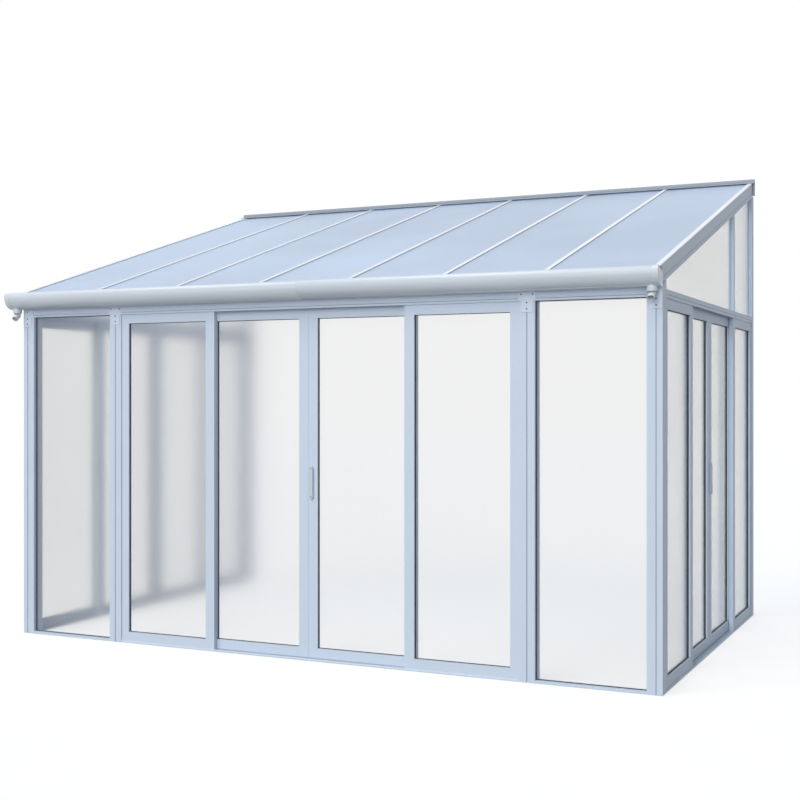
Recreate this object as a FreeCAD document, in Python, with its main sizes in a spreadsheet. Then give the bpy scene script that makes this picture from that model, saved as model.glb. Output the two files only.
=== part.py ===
import FreeCAD, Part
import math
import os
import re
import Sketcher

# Lean-to patio enclosure: glazed roof, gutter, two fixed front bays and three four-leaf sliding doors.
# X runs along the front, Y from the front towards the house wall, Z up; the floor is at zero height.

os.makedirs("parts", exist_ok=True)
doc = FreeCAD.newDocument("patio_enclosure")
sheet = doc.addObject("Spreadsheet::Sheet", "Sizes")

SIZES = [
    ("frame_width", "4250", "over the side faces of the corner posts"),
    ("frame_depth", "2740", "front face of the posts to the house wall"),
    ("head_height", "2079", "underside of the eaves beam and side beams"),
    ("eave_rise", "156", "top of the rafters above the door head, at the front face of the posts"),
    ("roof_pitch", "17", "slope of the roof in degrees"),
    ("panel_count", "7", "roof panels across the width"),
    ("bay_width", "615", "clear width of a fixed front bay"),
    ("post_width", "85", "corner post and wall post width along the front"),
    ("post_depth", "85", "corner post and door post depth"),
    ("door_post_width", "90", "door post width along the front"),
    ("wall_post_depth", "60", "wall post depth from the wall"),
    ("skin", "2.5", "wall of the frame extrusions"),
    ("groove_w", "6", "screw groove on the front of the posts"),
    ("groove_d", "3", "depth of the screw groove"),
    ("groove_edge", "34", "corner post groove from its outer face"),
    ("rebate_d", "11", "depth of the door rebate in a post"),
    ("rebate_front", "6", "post lip in front of the doors"),
    ("rebate_back", "12", "post lip behind the doors"),
    ("pane_t", "4", "pane thickness"),
    ("slot_clear", "0.3", "play on each face of a pane in its slot"),
    ("slot_d", "10", "depth of a glazing slot"),
    ("pane_edge", "8", "how far a pane enters its slot"),
    ("bay_pane_set", "30", "bay panes behind the front face of the posts"),
    ("bay_sill_h", "16", "height of a bay sill"),
    ("bay_sill_d", "55", "depth of a bay sill"),
    ("gasket_t", "3", "black gasket seen around a pane"),
    ("gasket_d", "8", "depth of a gasket in front of its pane"),
    ("leaf_t", "28", "door leaf thickness"),
    ("leaf_gap", "3", "gap between the outer and inner leaves"),
    ("leaf_set", "7", "outer leaves behind the face of the posts"),
    ("leaf_skin", "2", "wall of the leaf extrusions"),
    ("leaf_pane_set", "18", "pane behind the face of its leaf"),
    ("leaf_bottom", "8", "underside of the leaves"),
    ("leaf_top_gap", "3", "leaf below the roof of its guide channel"),
    ("stile_w", "62", "stile width"),
    ("glass_bottom", "70", "lower edge of the glass seen in a leaf"),
    ("top_rail_h", "75", "height of a leaf's top rail"),
    ("tuck", "8", "fixed stile hidden behind the post lip"),
    ("meet_gap", "1", "gap between the two sliding leaves when shut"),
    ("channel_h", "21", "height of the guide channels in the beams"),
    ("guide_gap", "1", "play between a leaf and its guide channel"),
    ("fin_t", "1.5", "fin between the two guide channels"),
    ("line_d", "1.5", "depth of the shadow lines on the beams and edge rafters"),
    ("eave_line", "13", "shadow line above the underside of the eaves beam"),
    ("side_line", "18", "shadow line above the underside of a side beam"),
    ("side_beam_h", "46", "height of a side beam"),
    ("side_beam_set", "2", "side beam behind the side face of the posts"),
    ("sill_h", "12", "front nose and back fin of a door sill"),
    ("sill_out", "8", "floor of the outer sill track"),
    ("sill_in", "3", "floor of the inner sill track"),
    ("sill_fin", "14", "top of the fin between the sill tracks"),
    ("sill_bevel", "4", "bevel of the sill nose"),
    ("sill_back_t", "5.5", "back fin of a door sill"),
    ("ridge_w", "3", "roller ridge width"),
    ("ridge_h", "3", "roller ridge height"),
    ("wheel_r", "10", "roller radius at the bottom of its groove"),
    ("wheel_rim_r", "12", "roller radius over its rims"),
    ("wheel_w", "8", "roller width"),
    ("wheel_groove_w", "4.4", "roller groove width"),
    ("wheel_inset", "102", "roller from the edge of its leaf"),
    ("run_gap", "0.3", "running clearance of rollers"),
    ("axle_r", "2.5", "roller axle pin radius"),
    ("bore_r", "3", "roller bore over its corners"),
    ("cheek_t", "5", "cheeks of the bottom rail beside the rollers"),
    ("roller_room_h", "28", "height of the roller chamber in the bottom rail"),
    ("handle_w", "24", "pull handle width"),
    ("handle_h", "196", "pull handle height"),
    ("handle_reach", "13", "pull handle stand-off from the leaf"),
    ("handle_wall", "3.5", "walls of the finger hollow in the pull handle"),
    ("grip_h", "148", "height of the finger hollow"),
    ("handle_in", "23", "middle of the pull handle from the edge of its leaf"),
    ("handle_z", "1050", "middle of the pull handle above the floor"),
    ("rafter_w", "40", "inner rafter width"),
    ("rafter_h", "62", "inner rafter depth"),
    ("edge_rafter_w", "45", "edge rafter width"),
    ("edge_rafter_h", "86", "edge rafter depth"),
    ("edge_inset", "5", "edge rafter inside the side face of the posts"),
    ("edge_band", "26", "lower band of the edge rafter"),
    ("upstand_t", "4", "edge rafter lip beside the end panel"),
    ("panel_t", "8", "roof panel thickness"),
    ("cap_w", "28", "rafter cap width"),
    ("cap_t", "6", "rafter cap thickness"),
    ("end_cap_in", "8", "end cap inwards from its panel joint"),
    ("stem_w", "4", "rafter cap stem between two panels"),
    ("fit_gap", "1", "fitting gap of roof panels and rafter ends"),
    ("eave_overhang", "40", "roof panels beyond the front face of the posts"),
    ("plate_rise", "20", "top of the wall plate above its hood"),
    ("plate_over", "10", "wall plate beyond the side face of the posts"),
    ("plate_web", "4", "wall plate thickness"),
    ("plate_foot", "12", "wall plate below its rafter shelf"),
    ("shelf_reach", "40", "wall plate shelf under the rafters"),
    ("shelf_t", "4", "shelf thickness"),
    ("hood_reach", "45", "wall plate hood over the panels"),
    ("hood_gap", "2", "hood above the rafter caps"),
    ("hood_t", "3", "hood thickness"),
    ("bead_h", "4", "raised bead on the edge of the hood"),
    ("wall_hole_r", "4.5", "wall fixing hole radius"),
    ("gutter_rise", "50", "underside of the gutter above the door head"),
    ("gutter_reach", "110", "gutter in front of the posts"),
    ("gutter_r", "82", "curve of the gutter front"),
    ("gutter_front_h", "107", "height of the gutter front"),
    ("gutter_back_h", "76", "height of the gutter back"),
    ("rim_r", "22", "rounding of the gutter rim"),
    ("lip_flat", "4", "flat lip behind the rounded gutter rim"),
    ("gutter_t", "2.5", "gutter wall"),
    ("gutter_left_over", "69", "gutter beyond the left corner post"),
    ("gutter_right_over", "1", "gutter beyond the right corner post"),
    ("end_cap_t", "3", "gutter end cap thickness"),
    ("joiner_half", "40", "half length of the gutter joiner"),
    ("joiner_t", "1.5", "gutter joiner wall"),
    ("outlet_set", "36", "outlet in front of the posts"),
    ("outlet_inset", "48", "outlet from the end of the gutter"),
    ("collar_r", "29", "outlet collar radius"),
    ("collar_h", "24", "outlet collar below the gutter"),
    ("pipe_r", "20.5", "outlet pipe radius"),
    ("knee_r", "21.5", "outlet elbow radius at its knee"),
    ("pipe_bore_r", "18", "outlet pipe bore"),
    ("pipe_drop", "12", "outlet pipe below its collar"),
    ("socket_len", "14", "thicker part of the outlet spout"),
    ("spigot_len", "22", "spigot on the end of the outlet spout"),
    ("spigot_r", "19.5", "outlet spigot radius"),
    ("spout_tilt", "45", "tilt of the outlet elbow in degrees"),
    ("bracket_t", "3", "post bracket thickness"),
    ("bracket_foot", "61", "post bracket below the eaves beam"),
    ("bracket_half", "33", "half width of a bracket's foot"),
    ("bracket_wing", "50", "half width of a bracket's head"),
    ("bracket_neck", "4", "where a bracket starts to widen below the door head"),
    ("wing_rise", "15", "height of the sloping bracket shoulder"),
    ("screw_r", "4.5", "screw head radius"),
    ("screw_h", "2.5", "screw head height"),
    ("floor_screw_edge", "195", "outermost floor screw from the end of the front sill"),
    ("floor_hole_r", "2.6", "floor screw hole radius"),
    ("floor_head_r", "4", "floor screw head radius"),
    ("floor_head_h", "2.5", "floor screw head height"),
    ("floor_shank_r", "2", "floor screw shank radius"),
    ("gable_set", "18", "gable panes behind the side face of the frame"),
    ("gable_mullion_w", "42", "gable mullion width"),
    ("gable_mullion_d", "45", "gable mullion depth"),
    ("gable_mullion_y", "1971", "middle of the gable mullion from the middle of the front"),
    ("eave_height", "=head_height + eave_rise", "top of the rafters above the front face of the posts"),
    ("half_width", "=frame_width / 2", "half of the width"),
    ("front_y", "=-post_depth / 2", "front face of the posts"),
    ("back_y", "=post_depth / 2", "back face of the front posts"),
    ("wall_y", "=front_y + frame_depth", "face of the house wall"),
    ("side_x", "=half_width - post_depth / 2", "middle of the side walls"),
    ("pitch_tan", "=tan(roof_pitch)", "rise of the roof per unit of depth"),
    ("pitch_cos", "=cos(roof_pitch)", "cosine of the pitch"),
    ("pitch_sin", "=sin(roof_pitch)", "sine of the pitch"),
    ("slot_w", "=pane_t + 2 * slot_clear", "glazing slot width"),
    ("front_half", "=half_width - post_width - bay_width - door_post_width", "half of the front door"),
    ("floor_screw_pitch", "=(front_half - floor_screw_edge) / 2", "spacing of the floor screws"),
    ("side_rear_y", "=wall_y - wall_post_depth", "front face of the wall posts"),
    ("side_half", "=(side_rear_y - back_y) / 2", "half of a side door opening"),
    ("side_mid", "=(side_rear_y + back_y) / 2", "middle of a side door"),
    ("front_leaf_w", "=(front_half + tuck - meet_gap / 2 + stile_w) / 2", "front leaf width"),
    ("side_leaf_w", "=(side_half + tuck - meet_gap / 2 + stile_w) / 2", "side leaf width"),
    ("leaf_out_y", "=front_y + leaf_set", "face of the outer leaves"),
    ("leaf_in_y", "=leaf_out_y + leaf_t + leaf_gap", "face of the inner leaves"),
    ("leaf_top", "=head_height + channel_h - leaf_top_gap", "top of the leaves"),
    ("glass_top", "=leaf_top - top_rail_h", "upper edge of the glass seen in a leaf"),
    ("chan_1a", "=leaf_out_y - guide_gap", "front of the outer channel"),
    ("chan_1b", "=leaf_in_y - (leaf_gap + fin_t) / 2", "back of the outer channel"),
    ("chan_2a", "=chan_1b + fin_t", "front of the inner channel"),
    ("chan_2b", "=leaf_in_y + leaf_t + guide_gap", "back of the inner channel"),
    ("channel_top", "=head_height + channel_h", "roof of the guide channels"),
    ("side_top", "=head_height + side_beam_h", "top of the side beams"),
    ("gable_y", "=front_y + gable_set", "outer face of the gable slot, from the middle of its wall"),
    ("edge_under", "=eave_height - edge_rafter_h / pitch_cos", "underside of the edge rafters in front"),
    ("beam_under", "=eave_height - rafter_h / pitch_cos", "underside of the rafters at the front"),
    ("rafter_half", "=half_width - edge_inset - edge_rafter_w / 2", "middle of the edge rafters"),
    ("panel_pitch", "=2 * rafter_half / panel_count", "spacing of the rafters"),
    ("roof_len", "=(frame_depth - plate_web - fit_gap) / pitch_cos", "slope length behind the post faces"),
    ("rafter_len", "=roof_len - rafter_h * pitch_tan", "slope length of the inner rafters"),
    ("edge_rafter_len", "=roof_len - edge_rafter_h * pitch_tan", "slope length of the edge rafters"),
    ("gutter_bottom", "=head_height + gutter_rise", "underside of the gutter"),
    ("gutter_rim", "=gutter_bottom + gutter_front_h", "top of the gutter front"),
    ("gutter_back", "=gutter_bottom + gutter_back_h", "top of the gutter back"),
    ("gutter_front", "=front_y - gutter_reach", "front of the gutter"),
    ("gutter_left_x", "=-half_width - gutter_left_over", "left end of the gutter"),
    ("gutter_right_x", "=half_width + gutter_right_over", "right end of the gutter"),
    ("outlet_y", "=front_y - outlet_set", "axis of the outlets"),
    ("wheel_z", "=sill_in + ridge_h + run_gap + wheel_r", "roller axis above the floor"),
]
for row, (alias, value, meaning) in enumerate(SIZES, start=1):
    sheet.set("A%d" % row, meaning)
    sheet.set("B%d" % row, value)
    sheet.setAlias("B%d" % row, alias)
doc.recompute()
ALIASES = set(entry[0] for entry in SIZES)
X_AXIS = FreeCAD.Vector(1, 0, 0)
Z_AXIS = FreeCAD.Vector(0, 0, 1)
START_RING = 100
THROUGH_ALL = 1


def bound(text):
    """Expression text with every size name pointed at the sheet."""
    return re.sub(r"[a-z_][a-z_0-9]*", lambda m: "Sizes." + m[0] if m[0] in ALIASES else m[0], text)


def hold(sketch, corners, first, constraints, names):
    """Ties the start of each edge to the sketch origin by two sheet-driven distances."""
    for index, (along, up) in enumerate(corners):
        start = sketch.Geometry[first + index].StartPoint
        constraints.append(Sketcher.Constraint("DistanceX", -1, 1, first + index, 1, start.x))
        names.append(along)
        constraints.append(Sketcher.Constraint("DistanceY", -1, 1, first + index, 1, start.y))
        names.append(up)


def polygon(sketch, corners):
    """Closed outline through the corners; every corner is held by the sheet."""
    count = len(corners)
    first = sketch.GeometryCount
    ring = []
    for index in range(count):
        turn = 2 * math.pi * index / count
        ring.append(FreeCAD.Vector(2 + math.cos(turn), 2 + math.sin(turn), 0) * START_RING)
    sketch.addGeometry([Part.LineSegment(ring[i], ring[(i + 1) % count]) for i in range(count)], False)
    joins = []
    for index in range(count):
        joins.append(Sketcher.Constraint("Coincident", first + index, 2, first + (index + 1) % count, 1))
    sketch.addConstraint(joins)
    constraints = []
    names = []
    hold(sketch, corners, first, constraints, names)
    base = sketch.ConstraintCount
    sketch.addConstraint(constraints)
    for index, name in enumerate(names):
        sketch.setExpression("Constraints[%d]" % (base + index), bound(name))


def circle(sketch, across, up, radius):
    """Circle whose centre and radius are held by the sheet."""
    middle = FreeCAD.Vector(START_RING, START_RING, 0)
    index = sketch.addGeometry(Part.Circle(middle, FreeCAD.Vector(0, 0, 1), 5), False)
    base = sketch.ConstraintCount
    sketch.addConstraint([
        Sketcher.Constraint("DistanceX", -1, 1, index, 3, middle.x),
        Sketcher.Constraint("DistanceY", -1, 1, index, 3, middle.y),
        Sketcher.Constraint("Radius", index, 5),
    ])
    for offset, name in enumerate((across, up, radius)):
        sketch.setExpression("Constraints[%d]" % (base + offset), bound(name))


def new_sketch(body, name, plane, lift="0"):
    """Sketch on one of the body's own planes, lifted along that plane's normal."""
    sketch = body.newObject("Sketcher::SketchObject", name)
    support = [f for f in body.Origin.OriginFeatures if f.Role == plane][0]
    sketch.AttachmentSupport = (support, [""])
    sketch.MapMode = "FlatFace"
    if lift != "0":
        sketch.setExpression("AttachmentOffset.Base.z", bound(lift))
    return sketch


def add_pad(body, name, plane, loops, length, backwards=False, lift="0"):
    """Pad of closed outlines; inner outlines leave hollow chambers."""
    sketch = new_sketch(body, name + "_outline", plane, lift)
    for loop in loops:
        polygon(sketch, loop)
    pad = body.newObject("PartDesign::Pad", name + "_pad")
    pad.Profile = sketch
    pad.setExpression("Length", bound(length))
    pad.Reversed = backwards
    body.Tip = pad
    return sketch, pad


def add_pocket(body, name, sketch, backwards=False):
    """Cut right through along the sketch normal."""
    pocket = body.newObject("PartDesign::Pocket", name + "_pocket")
    pocket.Profile = sketch
    pocket.Reversed = backwards
    pocket.Type = THROUGH_ALL
    body.Tip = pocket


def extrusion(name, plane, loops, length, backwards=False):
    """Body with one padded profile."""
    body = doc.addObject("PartDesign::Body", name)
    add_pad(body, name, plane, loops, length, backwards)
    return body


def row_of(body, name, sketch, pad, count, length):
    """Repeats the pad along the sketch's horizontal axis."""
    pattern = body.newObject("PartDesign::LinearPattern", name + "_row")
    pattern.Originals = [pad]
    pattern.Direction = (sketch, ["H_Axis"])
    pattern.setExpression("Length", bound(length))
    pattern.setExpression("Occurrences", bound(count))
    body.Tip = pattern


def place(piece, x="0", y="0", z="0", axis=Z_AXIS, angle=None):
    """Sets a piece at sheet-driven coordinates with one turn."""
    piece.Placement = FreeCAD.Placement(FreeCAD.Vector(0, 0, 0), FreeCAD.Rotation(axis, 1 if angle else 0))
    for key, value in (("x", x), ("y", y), ("z", z)):
        piece.setExpression("Placement.Base." + key, bound(value))
    if angle:
        piece.setExpression("Placement.Rotation.Angle", bound(angle))


def place_in_wall(piece, wall, along, depth, z="0"):
    """Sets a piece in the front, right or left wall: along the wall, then inwards from its middle."""
    if wall == "front":
        place(piece, along, depth, z)
    elif wall == "right":
        place(piece, "side_x - (%s)" % depth, "side_mid + (%s)" % along, z, Z_AXIS, "90")
    else:
        place(piece, "-side_x + (%s)" % depth, "side_mid - (%s)" % along, z, Z_AXIS, "-90")


def group(name, pieces):
    """One node made of separate solids."""
    compound = doc.addObject("Part::Compound", name)
    compound.Links = pieces
    return compound


def mirrored(loops, width):
    """Outlines reflected within a width."""
    return [[("(%s) - (%s)" % (width, along), up) for along, up in loop] for loop in loops]


def rectangle(low_x, low_y, high_x, high_y):
    """Corners of a rectangle."""
    return [(low_x, low_y), (high_x, low_y), (high_x, high_y), (low_x, high_y)]


def roof_z(y, rise):
    """Height of a point at depth y and a distance above the top of the rafters, square to the roof."""
    return "eave_height + ((%s) - front_y) * pitch_tan + (%s) / pitch_cos" % (y, rise)


def roof_place(piece, x, back="0"):
    """Sets a piece on the roof slope, starting a distance down the slope from the posts."""
    y = "front_y - (%s) * pitch_cos" % back
    z = "eave_height - (%s) * pitch_sin" % back
    place(piece, x, y, z, X_AXIS, "roof_pitch")


NODES = {}

# Corner posts: hollow square posts, grooved in front, with a glazing slot for the bay and a rebate
# for the side door; their tops are cut to the roof slope and carry the edge rafters.
corner_loops = [
    [
        ("0", "0"),
        ("post_width - groove_edge - groove_w / 2", "0"),
        ("post_width - groove_edge - groove_w / 2", "groove_d"),
        ("post_width - groove_edge + groove_w / 2", "groove_d"),
        ("post_width - groove_edge + groove_w / 2", "0"),
        ("post_width", "0"),
        ("post_width", "post_depth"),
        ("post_width - rebate_front", "post_depth"),
        ("post_width - rebate_front", "post_depth - rebate_d"),
        ("rebate_back", "post_depth - rebate_d"),
        ("rebate_back", "post_depth"),
        ("0", "post_depth"),
        ("0", "bay_pane_set + slot_w"),
        ("slot_d", "bay_pane_set + slot_w"),
        ("slot_d", "bay_pane_set"),
        ("0", "bay_pane_set"),
    ],
    [
        ("skin", "groove_d + skin"),
        ("post_width - skin", "groove_d + skin"),
        ("post_width - skin", "post_depth - rebate_d - skin"),
        ("skin", "post_depth - rebate_d - skin"),
        ("skin", "bay_pane_set + slot_w + skin"),
        ("slot_d + skin", "bay_pane_set + slot_w + skin"),
        ("slot_d + skin", "bay_pane_set - skin"),
        ("skin", "bay_pane_set - skin"),
    ],
]


def sloped_post(name, loops, depth, low_z):
    """Upright extrusion whose top follows the roof slope, rising with depth from low_z."""
    body = extrusion(name, "XY_Plane", loops, "%s + (%s) * pitch_tan" % (low_z, depth))
    cutter = new_sketch(body, name + "_slope", "YZ_Plane")
    margin = "skin"
    high_z = "%s + (%s + %s) * pitch_tan" % (low_z, depth, margin)
    polygon(cutter, [
        ("-%s" % margin, "%s - %s * pitch_tan" % (low_z, margin)),
        ("%s + %s" % (depth, margin), high_z),
        ("-%s" % margin, high_z),
    ])
    add_pocket(body, name, cutter, True)
    return body


corner_right = sloped_post("corner_post_r", corner_loops, "post_depth", "edge_under")
place(corner_right, "half_width - post_width", "front_y")
corner_left = sloped_post("corner_post_l", mirrored(corner_loops, "post_width"), "post_depth", "edge_under")
place(corner_left, "-half_width", "front_y")
NODES["corner_posts"] = group("corner_posts", [corner_left, corner_right])

# Door posts: hollow posts between the bays and the front door, grooved in front.
door_post_loops = [
    [
        ("0", "0"),
        ("(door_post_width - groove_w) / 2", "0"),
        ("(door_post_width - groove_w) / 2", "groove_d"),
        ("(door_post_width + groove_w) / 2", "groove_d"),
        ("(door_post_width + groove_w) / 2", "0"),
        ("door_post_width", "0"),
        ("door_post_width", "bay_pane_set"),
        ("door_post_width - slot_d", "bay_pane_set"),
        ("door_post_width - slot_d", "bay_pane_set + slot_w"),
        ("door_post_width", "bay_pane_set + slot_w"),
        ("door_post_width", "post_depth"),
        ("0", "post_depth"),
        ("0", "post_depth - rebate_back"),
        ("rebate_d", "post_depth - rebate_back"),
        ("rebate_d", "rebate_front"),
        ("0", "rebate_front"),
    ],
    [
        ("rebate_d + skin", "groove_d + skin"),
        ("door_post_width - skin", "groove_d + skin"),
        ("door_post_width - skin", "bay_pane_set - skin"),
        ("door_post_width - slot_d - skin", "bay_pane_set - skin"),
        ("door_post_width - slot_d - skin", "bay_pane_set + slot_w + skin"),
        ("door_post_width - skin", "bay_pane_set + slot_w + skin"),
        ("door_post_width - skin", "post_depth - skin"),
        ("skin", "post_depth - skin"),
        ("skin", "post_depth - rebate_back + skin"),
        ("rebate_d + skin", "post_depth - rebate_back + skin"),
    ],
]
door_post_right = extrusion("door_post_r", "XY_Plane", door_post_loops, "head_height")
place(door_post_right, "front_half", "front_y")
door_post_mirror = mirrored(door_post_loops, "door_post_width")
door_post_left = extrusion("door_post_l", "XY_Plane", door_post_mirror, "head_height")
place(door_post_left, "-front_half - door_post_width", "front_y")
NODES["door_posts"] = group("door_posts", [door_post_left, door_post_right])

# Wall posts: stand against the house wall, rebated for the side doors, under the edge rafters.
wall_post_loops = [
    [
        ("0", "0"),
        ("rebate_back", "0"),
        ("rebate_back", "rebate_d"),
        ("post_width - rebate_front", "rebate_d"),
        ("post_width - rebate_front", "0"),
        ("post_width", "0"),
        ("post_width", "wall_post_depth"),
        ("0", "wall_post_depth"),
    ],
    rectangle("skin", "rebate_d + skin", "post_width - skin", "wall_post_depth - skin"),
]
wall_post_low = "edge_under + (frame_depth - wall_post_depth) * pitch_tan"
wall_post_right = sloped_post("wall_post_r", wall_post_loops, "wall_post_depth", wall_post_low)
place(wall_post_right, "half_width - post_width", "side_rear_y")
wall_post_mirror = mirrored(wall_post_loops, "post_width")
wall_post_left = sloped_post("wall_post_l", wall_post_mirror, "wall_post_depth", wall_post_low)
place(wall_post_left, "-half_width", "side_rear_y")
NODES["wall_posts"] = group("wall_posts", [wall_post_left, wall_post_right])

# Eaves beam: hollow beam between the corner posts; two guide channels underneath hold the door tops,
# the outer one also holds the bay panes; the sloping top carries the inner rafters.
guide_outline = [
    ("chan_1a", "head_height"),
    ("chan_1a", "channel_top"),
    ("chan_1b", "channel_top"),
    ("chan_1b", "head_height"),
    ("chan_2a", "head_height"),
    ("chan_2a", "channel_top"),
    ("chan_2b", "channel_top"),
    ("chan_2b", "head_height"),
    ("back_y", "head_height"),
]
eaves_outline = [("front_y", "head_height")] + guide_outline + [
    ("back_y", "beam_under + post_depth * pitch_tan"),
    ("front_y", "beam_under"),
    ("front_y", "head_height + eave_line + line_d"),
    ("front_y + line_d", "head_height + eave_line + line_d"),
    ("front_y + line_d", "head_height + eave_line"),
    ("front_y", "head_height + eave_line"),
]
eaves_chamber = [
    ("front_y + skin", "channel_top + skin"),
    ("back_y - skin", "channel_top + skin"),
    ("back_y - skin", "beam_under + (post_depth - skin) * pitch_tan - skin / pitch_cos"),
    ("front_y + skin", "beam_under + skin * pitch_tan - skin / pitch_cos"),
]
eaves_start = "-(half_width - post_width)"
eaves_beam = extrusion("eaves_beam", "YZ_Plane", [eaves_outline, eaves_chamber], "-2 * " + eaves_start)
place(eaves_beam, eaves_start)
NODES["eaves_beam"] = eaves_beam

# Side beams: hollow beams over the side doors with the same guide channels; a slot on top holds
# the lower edge of the gable panes.
side_face = "front_y + side_beam_set"
side_outline = [(side_face, "head_height")] + guide_outline + [
    ("back_y", "side_top"),
    ("gable_y + slot_w", "side_top"),
    ("gable_y + slot_w", "side_top - slot_d"),
    ("gable_y", "side_top - slot_d"),
    ("gable_y", "side_top"),
    (side_face, "side_top"),
    (side_face, "head_height + side_line + line_d"),
    (side_face + " + line_d", "head_height + side_line + line_d"),
    (side_face + " + line_d", "head_height + side_line"),
    (side_face, "head_height + side_line"),
]
side_chamber = [
    (side_face + " + skin", "channel_top + skin"),
    ("back_y - skin", "channel_top + skin"),
    ("back_y - skin", "side_top - skin"),
    ("gable_y + slot_w + skin", "side_top - skin"),
    ("gable_y + slot_w + skin", "side_top - slot_d - skin"),
    ("gable_y - skin", "side_top - slot_d - skin"),
    ("gable_y - skin", "side_top - skin"),
    (side_face + " + skin", "side_top - skin"),
]
side_beams = []
for wall in ("left", "right"):
    beam = extrusion("side_beam_" + wall, "YZ_Plane", [side_outline, side_chamber], "2 * side_half")
    place_in_wall(beam, wall, "-side_half", "0")
    side_beams.append(beam)
NODES["side_beams"] = group("side_beams", side_beams)

# Door sills: low extrusions with an outer track for the fixed leaves, an inner track with the
# roller ridge for the sliding leaves and a bevelled nose; screw holes only under the front door.
ridge_mid = "leaf_in_y + leaf_t / 2"
sill_loops = [
    [
        ("front_y", "0"),
        ("chan_2b + sill_back_t", "0"),
        ("chan_2b + sill_back_t", "sill_h"),
        ("chan_2b", "sill_h"),
        ("chan_2b", "sill_in"),
        (ridge_mid + " + ridge_w / 2", "sill_in"),
        (ridge_mid + " + ridge_w / 2", "sill_in + ridge_h"),
        (ridge_mid + " - ridge_w / 2", "sill_in + ridge_h"),
        (ridge_mid + " - ridge_w / 2", "sill_in"),
        ("chan_2a", "sill_in"),
        ("chan_2a", "sill_fin"),
        ("chan_1b", "sill_fin"),
        ("chan_1b", "sill_out"),
        ("chan_1a", "sill_out"),
        ("chan_1a", "sill_h"),
        ("front_y + sill_bevel", "sill_h"),
        ("front_y", "sill_h - sill_bevel"),
    ],
    rectangle("front_y + skin", "skin", "chan_1b - skin", "sill_out - skin"),
]
DOORS = {
    "front": ("front_half", "front_leaf_w"),
    "right": ("side_half", "side_leaf_w"),
    "left": ("side_half", "side_leaf_w"),
}
FLOOR_SCREWS = (-2, -1, 0, 1, 2)
SCREW_SIDES = 8
floor_screw_y = "(chan_1a + chan_1b) / 2"
sills = []
for wall, (half, leaf_w) in DOORS.items():
    sill = extrusion("sill_" + wall, "YZ_Plane", sill_loops, "2 * " + half)
    place_in_wall(sill, wall, "-" + half, "0")
    sills.append(sill)
    if wall == "front":
        shanks = new_sketch(sill, "sill_shank_holes", "XY_Plane")
        for step in FLOOR_SCREWS:
            across = "front_half + (%d) * floor_screw_pitch" % step
            hole = []
            for corner in range(SCREW_SIDES):
                turn = 360 * corner / SCREW_SIDES
                hole_x = "%s + floor_hole_r * cos(%g)" % (across, turn)
                hole_y = "%s + floor_hole_r * sin(%g)" % (floor_screw_y, turn)
                hole.append((hole_x, hole_y))
            polygon(shanks, hole)
        add_pocket(sill, "sill_shanks", shanks, True)
NODES["door_sills"] = group("door_sills", sills)

# Floor screws: five through the front sill, heads on the floor of the outer track.


def prism(name, sides, radius, height):
    """Many-sided upright disc or bar about its own axis."""
    piece = doc.addObject("Part::Prism", name)
    piece.Polygon = sides
    piece.setExpression("Circumradius", bound(radius))
    piece.setExpression("Height", bound(height))
    return piece


def joined(name, pieces):
    """Union of several pieces."""
    piece = doc.addObject("Part::MultiFuse", name)
    piece.Shapes = pieces
    return piece


def less(name, base, tool):
    """One piece cut out of another."""
    piece = doc.addObject("Part::Cut", name)
    piece.Base = base
    piece.Tool = tool
    return piece


floor_screws = []
for step in FLOOR_SCREWS:
    name = "floor_screw_%d" % (step - FLOOR_SCREWS[0] + 1)
    shank = prism(name + "_shank", SCREW_SIDES, "floor_shank_r", "sill_out")
    head = prism(name + "_head", SCREW_SIDES, "floor_head_r", "floor_head_h")
    place(head, z="sill_out")
    screw = joined(name, [shank, head])
    place(screw, "(%d) * floor_screw_pitch" % step, floor_screw_y)
    floor_screws.append(screw)
NODES["floor_screws"] = group("floor_screws", floor_screws)

# Fixed bays: a low hollow sill, one pane held by the posts, the sill and the eaves beam, and a
# gasket all round in front of the pane.
bay_sill_loops = [
    [
        ("0", "0"),
        ("bay_sill_d", "0"),
        ("bay_sill_d", "bay_sill_h"),
        ("bay_pane_set + slot_w", "bay_sill_h"),
        ("bay_pane_set + slot_w", "bay_sill_h - slot_d"),
        ("bay_pane_set", "bay_sill_h - slot_d"),
        ("bay_pane_set", "bay_sill_h"),
        ("0", "bay_sill_h"),
    ],
    rectangle("skin", "skin", "bay_pane_set - skin", "bay_sill_h - skin"),
    rectangle("bay_pane_set + slot_w + skin", "skin", "bay_sill_d - skin", "bay_sill_h - skin"),
]
bay_sills = []
bay_panes = []
fixed_gaskets = []
for side, start in (("left", "-half_width + post_width"), ("right", "front_half + door_post_width")):
    bay_sill = extrusion("bay_sill_" + side, "YZ_Plane", bay_sill_loops, "bay_width")
    place(bay_sill, start, "front_y")
    bay_sills.append(bay_sill)
    bay_pane = extrusion(
        "bay_pane_" + side,
        "XY_Plane",
        [rectangle("-pane_edge", "0", "bay_width + pane_edge", "pane_t")],
        "head_height - bay_sill_h + 2 * pane_edge",
    )
    place(bay_pane, start, "front_y + bay_pane_set + slot_clear", "bay_sill_h - pane_edge")
    bay_panes.append(bay_pane)
    gasket = extrusion(
        "bay_gasket_" + side,
        "XZ_Plane",
        [
            rectangle("0", "bay_sill_h", "bay_width", "head_height"),
            rectangle(
                "gasket_t", "bay_sill_h + gasket_t", "bay_width - gasket_t", "head_height - gasket_t"
            ),
        ],
        "gasket_d",
        True,
    )
    place(gasket, start, "front_y + bay_pane_set + slot_clear - gasket_d")
    fixed_gaskets.append(gasket)
NODES["bay_sills"] = group("bay_sills", bay_sills)
NODES["bay_panes"] = group("bay_panes", bay_panes)

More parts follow.
